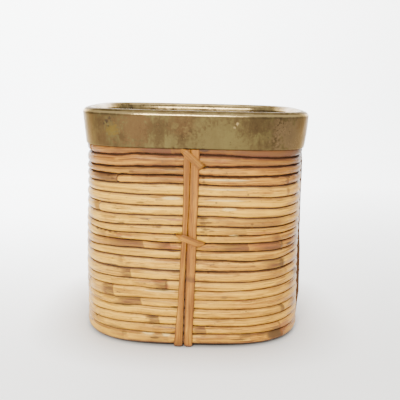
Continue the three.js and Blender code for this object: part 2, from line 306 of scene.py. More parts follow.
def mapRange(tree, value, low, high, toLow=0.0, toHigh=1.0, smooth=False):
    node = tree.nodes.new("ShaderNodeMapRange")
    node.interpolation_type = "SMOOTHSTEP" if smooth else "LINEAR"
    for name, part in (("Value", value), ("From Min", low), ("From Max", high),
                       ("To Min", toLow), ("To Max", toHigh)):
        plug(tree, part, node.inputs[name])
    return Wire(tree, node.outputs["Result"])


def objectPlace(tree):
    node = tree.nodes.new("ShaderNodeTexCoord")
    return Wire(tree, node.outputs["Object"])


def largest(tree, *values):
    total = values[0]
    for value in values[1:]:
        total = maths(tree, "MAXIMUM", total, value)
    return total


def hypotenuse(tree, first, second):
    return maths(tree, "SQRT", first * first + second * second)


def noiseField(tree, vector, scale, seed=None, detail=2.0, roughness=0.5):
    node = tree.nodes.new("ShaderNodeTexNoise")
    node.noise_dimensions = "3D" if seed is None else "4D"
    plug(tree, vector, node.inputs["Vector"])
    if seed is not None:
        plug(tree, seed, node.inputs["W"])
    node.inputs["Scale"].default_value = scale
    node.inputs["Detail"].default_value = detail
    node.inputs["Roughness"].default_value = roughness
    return Wire(tree, node.outputs[0])


def storeField(tree, geometry, name, value, kind="FLOAT"):
    node = tree.nodes.new("GeometryNodeStoreNamedAttribute")
    node.data_type = kind
    node.domain = "POINT"
    tree.links.new(geometry, node.inputs["Geometry"])
    node.inputs["Name"].default_value = name
    plug(tree, value, node.inputs["Value"])
    return node.outputs["Geometry"]


def evaluateTree(name, tree, values):
    # runs a geometry tree on an empty mesh and keeps the result as a plain mesh object
    carrier = bpy.data.objects.new(name + "_carrier", bpy.data.meshes.new(name + "_carrier"))
    bpy.context.scene.collection.objects.link(carrier)
    modifier = carrier.modifiers.new("tree", "NODES")
    modifier.node_group = tree
    for item in tree.interface.items_tree:
        if item.in_out == "INPUT" and item.name in values:
            modifier[item.identifier] = values[item.name]
    graph = bpy.context.evaluated_depsgraph_get()
    mesh = bpy.data.meshes.new_from_object(carrier.evaluated_get(graph))
    mesh.name = name
    bpy.data.objects.remove(carrier)
    piece = bpy.data.objects.new(name, mesh)
    bpy.context.scene.collection.objects.link(piece)
    return piece


def settle(piece, slot, *nodes):
    # the piece rides on the one body and stands for its nodes
    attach(piece, "root")
    if nodes:
        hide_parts(*nodes)


# Materials

def newMaterial(name):
    material = bpy.data.materials.new(name)
    material.use_nodes = True
    tree = material.node_tree
    return material, tree, tree.nodes["Principled BSDF"]


def attribute(tree, name, output="Vector"):
    node = tree.nodes.new("ShaderNodeAttribute")
    node.attribute_name = name
    return Wire(tree, node.outputs[output])


def ramp(tree, value, stops):
    node = tree.nodes.new("ShaderNodeValToRGB")
    plug(tree, value, node.inputs["Fac"])
    points = node.color_ramp.elements
    while len(points) < len(stops):
        points.new(0.5)
    for point, (place, colour) in zip(points, stops):
        point.position = place
        point.color = (*colour, 1)
    return Wire(tree, node.outputs["Color"])


def mixColour(tree, share, first, second, blend="MIX"):
    node = tree.nodes.new("ShaderNodeMix")
    node.data_type = "RGBA"
    node.blend_type = blend
    plug(tree, share, node.inputs[0])
    for value, socket in ((first, node.inputs[6]), (second, node.inputs[7])):
        plug(tree, value if isinstance(value, Wire) else (*value, 1), socket)
    return Wire(tree, node.outputs[2])


def bump(tree, height, distance, strength, normal=None):
    node = tree.nodes.new("ShaderNodeBump")
    node.inputs["Strength"].default_value = strength
    node.inputs["Distance"].default_value = distance
    plug(tree, height, node.inputs["Height"])
    if normal is not None:
        plug(tree, normal, node.inputs["Normal"])
    return Wire(tree, node.outputs["Normal"])


def stretched(tree, vector, scale):
    node = tree.nodes.new("ShaderNodeVectorMath")
    node.operation = "MULTIPLY"
    plug(tree, vector, node.inputs[0])
    node.inputs[1].default_value = scale
    return Wire(tree, node.outputs[0])


makeStudio()
print("studio made")


rattanLook = {
    "grainScale": (16, 620, 620),      # per metre along the rod and across it
    "fibreScale": (45, 2300, 2300),
    "blotchScale": (30, 90, 90),
    "crackScale": (28, 900, 900),
    "speckScale": (260, 1100, 1100),
    "paleStraw": (0.80, 0.435, 0.027),
    "straw": (0.605, 0.315, 0.0225),
    "darkStraw": (0.36, 0.165, 0.014),
    "paleTan": (0.56, 0.25, 0.024),
    "tan": (0.37, 0.148, 0.018),
    "darkTan": (0.15, 0.058, 0.016),
    "scar": (0.112, 0.060, 0.024),
    "redScar": (0.128, 0.053, 0.030),
    "rust": (0.30, 0.10, 0.03),
    "dot": (0.055, 0.026, 0.013),
    # the colour of painted highlight streaks
    "paintedGlint": (0.95, 0.70, 0.24),
    "groove": (0.165, 0.088, 0.050),
    "deepGroove": (0.085, 0.037, 0.018),
    "flank": (0.88, 0.90, 3.0),         # painted shade: the colour greys a little towards the joints
    "sheen": (0.94, 0.60, 0.085),
    "paintedHighlight": (0.88, 0.54, 0.12),        # painted highlight on the upper side; the lower side is painted greener as shade
    "shady": (0.97, 1.0, 0.72),
    "gloss": 0.15,
    "coat": 0.04,                       # more of it turns the edges white
    "coatRoughness": 0.2,
    "roughness": 0.36,
    "relief": 0.28 * millimetre,
}
# Straps and lashings are darker than the rods, and less glossy
strapColours = {
    "paleTan": (0.40, 0.162, 0.020),
    "tan": (0.27, 0.100, 0.013),
    "darkTan": (0.15, 0.053, 0.012),
    "groove": (0.16, 0.066, 0.028),
    "gloss": 0.14,
    "coat": 0.06,
    "roughness": 0.42,
}


# Marks on the front rods: millimetres right of the middle, height, reach along the rod and across it, colour
# and strength. The cream ones are painted highlights.
rodMarks = [
    (-85.5, 101.3, 1, 0.76, "dot", 0.9), (-81.8, 101.6, 0.84, 0.67, "dot", 0.8),
    (-77.3, 101.3, 1, 0.67, "dot", 0.8), (-72.9, 101, 1.2, 0.67, "dot", 0.8),
    (-67.8, 100.7, 1.3, 0.59, "dot", 0.6), (-64.1, 99, 2.1, 0.76, "rust", 0.7),
    (-56, 98.8, 2.5, 0.59, "rust", 0.6), (-33.2, 101.5, 5, 0.67, "rust", 0.6),
    (-17.5, 87.1, 4.2, 0.84, "rust", 0.8), (-15.3, 114.5, 5.9, 0.67, "rust", 0.8),
    (8.7, 112.2, 2.1, 0.76, "dot", 0.7), (13.4, 112.7, 1.8, 0.67, "dot", 0.6),
    (11.5, 106.5, 2.5, 0.76, "dot", 0.7), (15.8, 105.6, 1.7, 0.59, "dot", 0.6),
    (8.1, 104.5, 1.3, 0.59, "dot", 0.5), (-19.5, 158.1, 5, 0.67, "scar", 0.7),
    (-12.6, 150.1, 2.9, 1.1, "rust", 0.5), (-40.1, 170.9, 1.3, 0.76, "dot", 0.7),
    (-25.7, 60.1, 5.9, 0.76, "rust", 0.8), (-21.3, 55.3, 1.3, 2, "rust", 0.7),
    (-70.6, 71, 4.2, 0.92, "scar", 0.9), (-35, 26.7, 3.8, 0.76, "scar", 0.7),
    (-35.8, 22.1, 4.2, 0.67, "scar", 0.7), (-37.5, 11.5, 3.4, 0.67, "paintedGlint", 0.8),
    (-32.1, 8.2, 2.9, 0.67, "dot", 0.8), (-63, 7.8, 6.7, 1, "rust", 0.3),
    (43.1, 7.5, 5, 0.67, "dot", 0.7), (27.9, 11.1, 5, 0.76, "rust", 0.4),
    (14.5, 19.4, 1.2, 0.67, "dot", 0.8), (28.7, 46, 1.7, 1, "scar", 0.5),
    (14.1, 68.3, 0.84, 0.59, "dot", 0.7), (86.3, 91, 2.2, 0.76, "dot", 0.9),
    (79, 95.7, 2, 0.59, "dot", 0.7), (35.7, 101.2, 2.7, 0.67, "paintedGlint", 1),
    (53.2, 101.2, 5.9, 0.84, "rust", 0.5), (82.9, 151.7, 0.76, 0.76, "dot", 0.7),
    (80.1, 148.4, 1, 0.67, "scar", 0.7), (8.8, 145.3, 1.7, 0.76, "scar", 0.8),
    (21.9, 165.7, 4.2, 0.76, "rust", 0.4), (46.6, 137.4, 0.76, 0.59, "scar", 0.8),
    (19.4, 130.1, 0.76, 0.67, "scar", 0.8), (51, 111.5, 0.84, 0.67, "dot", 0.6),
    (-19.1, 133.2, 5, 0.76, "paintedGlint", 0.5), (26.6, 149.7, 15, 0.5, "paintedGlint", 0.5),
    (29.4, 141.5, 12, 0.5, "paintedGlint", 0.35), (27.9, 132, 10, 0.5, "paintedGlint", 0.4),
    (-20.7, 70.2, 7.6, 0.67, "paintedGlint", 0.4), (-27.3, 51, 10, 0.59, "paintedGlint", 0.45),
    (30.7, 124.2, 4.2, 0.84, "paintedGlint", 0.5), (33.8, 51.5, 8.4, 0.59, "paintedGlint", 0.3),
    (-37, 123.4, 6.7, 0.5, "paintedGlint", 0.3), (8.1, 174.7, 3.4, 1, "dot", 0.9),
    (7.8, 151.3, 0.84, 0.76, "dot", 0.7), (8.3, 147.9, 0.84, 0.67, "dot", 0.7),
    (22.4, 159.8, 1.7, 0.84, "scar", 0.7), (-14.4, 36.5, 2.5, 0.76, "dot", 0.8),
    (-87.4, 18.2, 1, 0.76, "dot", 0.7), (-84, 20.8, 0.84, 0.67, "dot", 0.6),
    (-66.9, 14.1, 5.9, 0.84, "scar", 0.6), (-61.2, 35.8, 6.7, 0.92, "scar", 0.7),
    (-59.3, 9.4, 1.7, 1.3, "scar", 0.5), (-21.5, 11.1, 2.5, 1, "paintedGlint", 0.7),
    (6.1, 116.7, 3.4, 0.84, "dot", 0.5), (60.6, 92.2, 9.2, 0.67, "rust", 0.7),
    (62.8, 103.2, 10, 0.67, "rust", 0.6), (-41.2, 114.5, 3.4, 0.67, "dot", 0.6),
    (-62.3, 110, 2.5, 0.59, "dot", 0.7), (-29.9, 107.9, 1.7, 0.84, "scar", 0.6),
    (62.2, 52.6, 3.4, 0.67, "scar", 0.5), (49.3, 10.5, 4.2, 1, "scar", 0.6),
    (64, 10.8, 3.4, 1.3, "scar", 0.5), (75.5, 8.4, 5, 2.5, "scar", 0.8),
    (82.5, 10, 3.4, 2.5, "scar", 0.6), (-45.7, 128.7, 2.5, 0.59, "dot", 0.6),
    (-53.7, 155.1, 1.7, 0.67, "dot", 0.6), (-53.4, 117.3, 3.4, 0.59, "dot", 0.5),
    (84.2, 145.8, 2.5, 0.76, "dot", 0.6), (9.5, 115.9, 2.5, 0.67, "dot", 0.6),
    (-16.6, 87.2, 4.2, 0.84, "dot", 0.8), (-17.5, 90.2, 4.2, 1, "rust", 0.7),
    (-36.2, 59.2, 10, 0.67, "rust", 0.5), (-24, 61.1, 2.5, 0.84, "scar", 0.7),
    (-22.2, 57.1, 1, 2.5, "dot", 0.6), (-23, 52.6, 2.5, 0.67, "dot", 0.7),
    (-30, 51.4, 6.7, 0.59, "scar", 0.6), (78.7, 91.7, 0.84, 3.8, "scar", 0.8),
    (90.1, 82.2, 2.5, 0.84, "dot", 0.8), (80.1, 74.4, 2.1, 3.4, "scar", 0.7),
    (77.4, 9.8, 5.9, 3.4, "scar", 0.7), (85.5, 12.7, 3.4, 4.2, "rust", 0.6),
    (-74.3, 150.6, 0.84, 0.84, "dot", 0.6), (-70.6, 148.3, 1, 0.84, "dot", 0.6),
    (-79.1, 149.2, 6.7, 1.7, "scar", 0.5), (-17.7, 153.3, 5, 0.84, "dot", 0.7),
    (91.9, 46.6, 2.5, 0.84, "dot", 0.7), (76.2, 54.3, 3.4, 0.67, "scar", 0.6),
]


def makeRattan(name, look, marks=()):
    material, tree, shader = newMaterial(name)
    grain = attribute(tree, "grain")
    tone = attribute(tree, "tone", "Fac")
    scar = attribute(tree, "scar", "Fac")
    groove = attribute(tree, "groove", "Fac")

    def field(scale, seed, detail):
        return noiseField(tree, stretched(tree, grain, look[scale]), 1, seed, detail, 0.6)

    streak = field("grainScale", tone * 7, 4)
    fibre = field("fibreScale", None, 3)
    blotch = field("blotchScale", tone * 3, 3)
    mix = mapRange(tree, streak * 0.58 + fibre * 0.42, 0.40, 0.62)
    pale = ramp(tree, mix, [(0.0, look["darkStraw"]), (0.4, look["straw"]), (0.8, look["paleStraw"])])
    warm = ramp(tree, mix, [(0.0, look["darkTan"]), (0.4, look["tan"]), (0.8, look["paleTan"])])
    shift = mapRange(tree, tone + blotch * 1.5 - 0.75, 0.0, 1.0, smooth=True)
    colour = mixColour(tree, shift, pale, warm)
    # tones past 1.35 darken towards dark tan; on the top rod this is partly painted shade under the collar's
    # hem
    colour = mixColour(tree, mapRange(tree, tone + blotch, 1.35, 1.9), colour, look["darkTan"])
    # painted shade: the flanks grey towards the joints
    flank = mapRange(tree, groove, 0.5, 0.9, smooth=True)
    colour = mixColour(tree, flank * 0.8, colour, look["flank"], "MULTIPLY")
    # silvery skin that is left on the rod in long flecks
    skin = mapRange(tree, streak * 0.5 + blotch * 0.5, 0.54, 0.66, smooth=True)
    colour = mixColour(tree, skin * (1 - tone) * 0.6, colour, look["sheen"])
    # painted highlight streaks on the upper side, and painted shade that makes the lower side greener
    _, _, upward = separate(tree, grain)
    upward = upward / (wall["depth"] / 2)
    upperHighlight = mapRange(tree, upward, 0.15, 0.5, smooth=True) * mapRange(tree, streak, 0.42, 0.58)
    colour = mixColour(tree, upperHighlight * (1 - tone) * 0.4, colour, look["paintedHighlight"])
    colour = mixColour(tree, mapRange(tree, upward, 0.1, -0.5) * 0.6, colour, look["shady"], "MULTIPLY")
    # brown sheath marks beside the rings, ragged away from the ring
    ragged = scar + (fibre * 0.5 + streak * 0.5 - 0.5) * 3 + (blotch - 0.5) * 0.8
    stain = mapRange(tree, ragged, 0.18, 0.62, smooth=True) * mapRange(tree, scar, 0.02, 0.15)
    stain = stain * mapRange(tree, fibre * 0.5 + streak * 0.5, 0.42, 0.58, 1.0, 0.66)
    sheath = mixColour(tree, mapRange(tree, blotch, 0.4, 0.56), look["scar"], look["redScar"])
    colour = mixColour(tree, stain * 0.95, colour, sheath)
    rim = attribute(tree, "rim", "Fac")
    colour = mixColour(tree, rim * mapRange(tree, fibre, 0.4, 0.65) * 0.3, colour, look["paleStraw"])
    across, depth, height = separate(tree, objectPlace(tree))
    onFront = maths(tree, "LESS_THAN", depth, 0.0)
    for right, up, long, tall, tint, strength in marks:
        awayX = (across - right * millimetre) / (long * millimetre)
        awayZ = (height - up * millimetre) / (tall * millimetre)
        away = hypotenuse(tree, awayX, awayZ) + (streak + fibre - 1) * 1.8
        near = mapRange(tree, away, 1.8, 1.0, smooth=True) * onFront
        colour = mixColour(tree, near * strength, colour, look[tint])
    # dark joints, with painted shade where the groove field marks it: the slit behind the straps, the rod
    # ends, the lowest rod's underside, the straps' sides and feet
    dirtAndShade = mapRange(tree, groove + streak * 0.5 - 0.25, 0.76, 0.97, smooth=True)
    deep = mapRange(tree, tone + blotch - 0.5, 0.35, 0.65)
    gap = mixColour(tree, deep, look["groove"], look["deepGroove"])
    colour = mixColour(tree, dirtAndShade * 0.94, colour, gap)
    # short dark cracks along the grain, and small pits
    rougher = (blotch - 0.5) * 0.3
    crack = mapRange(tree, field("crackScale", tone * 11, 2) + rougher, 0.62, 0.7, smooth=True)
    speck = mapRange(tree, field("speckScale", tone * 5, 1) + rougher, 0.66, 0.73, smooth=True)
    colour = mixColour(tree, maths(tree, "MAXIMUM", crack * 0.6, speck * 0.75), colour, look["scar"])
    plug(tree, colour, shader.inputs["Base Color"])
    rough = mapRange(tree, streak, 0.3, 0.7, look["roughness"] - 0.12, look["roughness"] + 0.16)
    plug(tree, rough, shader.inputs["Roughness"])
    relief = fibre * 0.5 + streak * 0.7 - crack * 0.6
    plug(tree, bump(tree, relief, look["relief"], 0.7), shader.inputs["Normal"])
    clean = 1 - maths(tree, "MAXIMUM", stain, dirtAndShade) * 0.8
    plug(tree, clean * look["gloss"], shader.inputs["Specular IOR Level"])
    coat = mapRange(tree, streak, 0.45, 0.62, 0.1, 1.0) * look["coat"]
    plug(tree, coat * clean, shader.inputs["Coat Weight"])
    shader.inputs["Coat Roughness"].default_value = look["coatRoughness"]
    return material


rattanSkin = makeRattan("rattan skin", rattanLook, rodMarks)
strapSkin = makeRattan("split rattan", {**rattanLook, **strapColours})


brassLook = {
    "blotchScale": 30,
    "cloudScale": (105, 105, 60),
    "streakScale": (260, 260, 30),
    "brushScale": (140, 140, 900),
    "speckScale": 420,
    "brown": (0.058, 0.036, 0.016),
    "olive": (0.090, 0.061, 0.025),
    "green": (0.128, 0.098, 0.036),
    "copper": (0.105, 0.058, 0.024),
    "gold": (0.145, 0.092, 0.022),
    "bronze": (0.150, 0.096, 0.046),
    "rubbed": (0.64, 0.46, 0.20),
    "edge": (0.72, 0.62, 0.50),      # what it mirrors at a grazing angle
    "spot": (0.040, 0.028, 0.018),
    "stainDepth": (-5 * millimetre, -55 * millimetre),  # the front's stains fade out towards the back
    "roughness": (0.24, 0.44),
    "relief": 0.2 * millimetre,
    "waves": 2.2 * millimetre,
}
# Stains on the front: millimetres right of the middle, height, reach, colour and strength
brassStains = [
    (18, 181, 24, "green", 0.6), (38, 178, 12, "green", 0.6), (92, 187, 28, "bronze", 0.75),
    (-52, 194, 17, "copper", 0.7), (-30, 190, 12, "brown", 0.5), (-86, 188, 20, "copper", 0.6),
    (-90, 196, 12, "brown", 0.4), (-71, 190, 6, "gold", 0.75), (52, 198, 14, "brown", 0.5),
    (98, 196, 10, "copper", 0.5), (-12, 198, 12, "copper", 0.4), (-17, 195, 3, "green", 0.4),
    (-75.5, 197, 1.8, "spot", 0.8), (-74, 193.5, 1.5, "spot", 0.7), (-72.5, 200, 1.3, "spot", 0.7),
    (-77.5, 195, 1.2, "spot", 0.6), (-71.5, 197.5, 1, "spot", 0.5), (-62, 185, 3, "brown", 0.6),
    (35, 198, 1.5, "rubbed", 0.35), (33, 195, 1.2, "rubbed", 0.2), (-20, 182, 6, "green", 0.6),
]


def makeBrass():
    look = brassLook
    material, tree, shader = newMaterial("aged brass")
    spot = objectPlace(tree)
    blotch = noiseField(tree, spot, look["blotchScale"], None, 4, 0.6)
    cloud = noiseField(tree, stretched(tree, spot, look["cloudScale"]), 1, None, 5, 0.68)
    streak = noiseField(tree, stretched(tree, spot, look["streakScale"]), 1, None, 3, 0.6)
    brushed = noiseField(tree, stretched(tree, spot, look["brushScale"]), 1, None, 3, 0.55)
    patina = blotch * 0.35 + cloud * 0.5 + streak * 0.15
    colour = ramp(tree, patina, [(0.42, look["brown"]), (0.5, look["olive"]), (0.58, look["green"])])
    specks = noiseField(tree, spot, look["speckScale"], None, 2, 0.5)
    across, depth, height = separate(tree, spot)
    for right, up, reach, tint, strength in brassStains:
        awayX = across - right * millimetre
        awayZ = height - up * millimetre
        away = hypotenuse(tree, awayX, awayZ) / (reach * millimetre)
        near = mapRange(tree, away + (cloud - 0.5) * 1.6 + (specks - 0.5) * 2.4, 1.1, 0.5, smooth=True)
        near = near * mapRange(tree, depth, *look["stainDepth"], smooth=True)
        colour = mixColour(tree, near * strength, colour, look[tint])
    dark = mapRange(tree, specks * 0.7 + cloud * 0.3, 0.66, 0.72, smooth=True)
    edge = attribute(tree, "rubbed", "Fac")
    worn = mapRange(tree, edge + cloud * 0.5 - 0.25, 0.4, 0.9, smooth=True)
    colour = mixColour(tree, dark * (1 - worn) * 0.6, colour, look["spot"])
    colour = mixColour(tree, worn * 0.75, colour, look["rubbed"])
    plug(tree, colour, shader.inputs["Base Color"])
    shader.inputs["Metallic"].default_value = 1
    shader.inputs["Specular Tint"].default_value = (*look["edge"], 1)
    rough = mapRange(tree, cloud * 0.5 + blotch * 0.5, 0.38, 0.62, *look["roughness"])
    plug(tree, rough - worn * 0.16, shader.inputs["Roughness"])
    first = bump(tree, brushed * 0.4 + cloud, look["relief"], 0.6)
    plug(tree, bump(tree, blotch, look["waves"], 0.35, first), shader.inputs["Normal"])
    return material


agedBrass = makeBrass()


woodLook = {
    "light": (0.40, 0.245, 0.085),
    "dark": (0.22, 0.125, 0.045),
    "grainScale": (14, 260, 260),
    "cloudScale": 30,
    "relief": 0.3 * millimetre,
}


def makePlainWood(name):
    look = woodLook
    material, tree, shader = newMaterial(name)
    spot = objectPlace(tree)
    grain = noiseField(tree, stretched(tree, spot, look["grainScale"]), 1, None, 4, 0.6)
    cloud = noiseField(tree, spot, look["cloudScale"], None, 3, 0.5)
    shade = mapRange(tree, grain * 0.7 + cloud * 0.3, 0.35, 0.65)
    colour = ramp(tree, shade, [(0.0, look["dark"]), (1.0, look["light"])])
    plug(tree, colour, shader.inputs["Base Color"])
    plug(tree, mapRange(tree, grain, 0.3, 0.7, 0.5, 0.75), shader.inputs["Roughness"])
    plug(tree, bump(tree, grain, look["relief"], 0.5), shader.inputs["Normal"])
    return material


plainWood = makePlainWood("plain wood")
print("materials made")


# Wall rods

rodShape = {
    "stepsAlong": 900,
    "stepsAround": 24,
    "sectionPower": 0.86,                 # 1 is round, less is squarer
    "wave": 0.9 * millimetre,             # how far the joints wander where the front isn't seen
    "shrink": 0.8 * millimetre,           # how far a thin stretch draws in above and below
    "weave": 0.8 * millimetre,            # how far a rod wanders in and out
    "crease": 0.55 * millimetre,          # long ridges and hollows along the skin
    "endLength": 4.2 * millimetre,        # the end that lies on top is rounded
    "endLift": 0.5 * millimetre,
    "overlap": 4 * millimetre,            # the other end runs on under it
    "dive": 2 * millimetre,
    "ringHeight": 0.3 * millimetre,
    "ringWidth": 0.9 * millimetre,
    "ringSlant": 0.9 * millimetre,
    "ringEdge": 0.5 * millimetre,         # how sharply the brown mark stops at its ring
    "finishLength": 1 * millimetre,       # the end that dives is closed over this length
    "liftReach": (16 * millimetre, 1 * millimetre),
    # painted shade round the rounded end that lies on top
    "tipShade": (1.3 * millimetre, 0.3 * millimetre),
    "slotHalfLength": 2 * millimetre,
    "slotRise": 0.4 * millimetre,
    "shadedSlit": -6.3 * millimetre,        # the slit between two straps, where shade is painted on the rods
    "shadedSlitReach": (2 * millimetre, 1.2 * millimetre),
    "mergeDistance": 0.01 * millimetre,
}
# Noise on the rods: how often each kind repeats round the hoop
rodNoise = {"wave": 3.2, "shrink": 9.0, "weave": 2.6, "crease": 1.7, "dirtAndShade": 11.0, "warmth": 4.0}
# Rods vary in warmth at random; they are painted warmer and darker on the right and towards the left edge, as
# shade
rodWarmth = {"spread": 0.5, "right": 0.25, "leftEdge": (-0.8, -0.98, 0.0, 0.3)}

# From the top rod down: where the hoop's ends meet (share of a turn from the right side),
# and how warm its colour is (0 is pale straw, 1 is orange tan)
rodJoints = [
    0.57, 0.22, 0.35, 0.675, 0.17, 0.32, 0.631, 0.2, 0.36, 0.14, 0.3,
    0.19, 0.33, 0.16, 0.31, 0.21, 0.37, 0.15, 0.29, 0.18, 0.34,
]
# Three of them meet on the front, at these millimetres right of the middle
frontJoints = {1: -92.0, 4: -67.4, 7: -84.6}
# The top rod's dark tone is partly painted shade under the collar's hem.
rodTones = [
    1.35, 1.12, 0.88, 0.8, 0.36, 0.34, 0.3, 0.38, 0.43, 0.44, 0.78,
    0.36, 0.44, 0.42, 0.38, 0.42, 0.42, 0.4, 0.34, 0.54, 0.52,
]
# Rings on the front: rod number, millimetres right of the middle, length of the brown mark
# to the left of the ring, and its strength
frontRings = [
    (1, -92.0, 5, 0.8), (4, -67.4, 34, 0.85), (7, -84.6, 11, 0.5),
    # the top rod's long marks are partly painted shade under the collar's hem
    (1, -20.0, 34, 0.9), (1, 96.0, 112, 0.5), (2, 92.0, 70, 0.36), (2, 40.0, 12, 0.3),
    (3, 61.0, 10, 0.3), (3, -6.0, 130, 0.42), (4, 83.0, 5, 0.5), (4, -6.0, 56, 0.28), (5, 84.0, 5, 0.35),
    (8, 10.5, 10, 0.35), (8, 84.0, 110, 0.34), (9, 12.5, 11, 0.4), (9, 47.0, 34, 0.45),
    (10, -76.0, 14, 0.4), (10, 78.0, 15, 0.45),
    (11, -41.8, 50, 0.85), (11, -18.0, 20, 0.6), (11, 49.4, 40, 0.95), (11, 78.5, 30, 0.75),
    (13, -60.0, 9, 0.35), (13, 82.0, 28, 0.85), (14, -52.7, 13, 0.95), (14, 86.0, 40, 0.32),
    (15, -21.0, 17, 0.8), (16, -69.2, 18, 1), (17, -44.0, 33, 0.85), (18, 84.5, 9, 0.85),
    (19, -28.3, 13, 0.9), (20, 81.0, 4, 0.6), (20, 12.8, 14, 0.95), (20, -40.0, 60, 0.25),
    (21, 83.5, 22, 1), (21, -20.0, 40, 0.35), (21, -60.0, 40, 0.35),
]
ringSlots = 5  # rings that one rod can have


def frontAngle(across, rod):
    # angle from the right side of a point on the front, `across` metres right of the middle
    share = min(abs(across) / rod["halfWidth"], 0.999)
    depth = rod["halfWidth"] * (1 - share ** rod["squareness"]) ** (1 / rod["squareness"])
    return math.atan2(-depth, across) % (2 * math.pi)


def jointAngle(turnShare, rod):
    # rodJoints go by the outline's own angle, and the rods are made by the polar one
    if rod["number"] in frontJoints:
        return frontAngle(frontJoints[rod["number"]] * millimetre, rod)
    turn = turnShare * 2 * math.pi
    power = 2 / rod["squareness"]
    x = math.copysign(abs(math.cos(turn)) ** power, math.cos(turn))
    y = math.copysign(abs(math.sin(turn)) ** power, math.sin(turn))
    return math.atan2(y, x) % (2 * math.pi)


def outlineReach(angle, rod):
    # metres along the outline for each radian at this angle
    step = 0.002
    spots = []
    for side in (-step, step):
        cosine, sine = math.cos(angle + side), math.sin(angle + side)
        power = rod["squareness"]
        radius = rod["halfWidth"] * (abs(cosine) ** power + abs(sine) ** power) ** (-1 / power)
        spots.append(Vector((cosine, sine)) * radius)
    return (spots[1] - spots[0]).length / (2 * step)


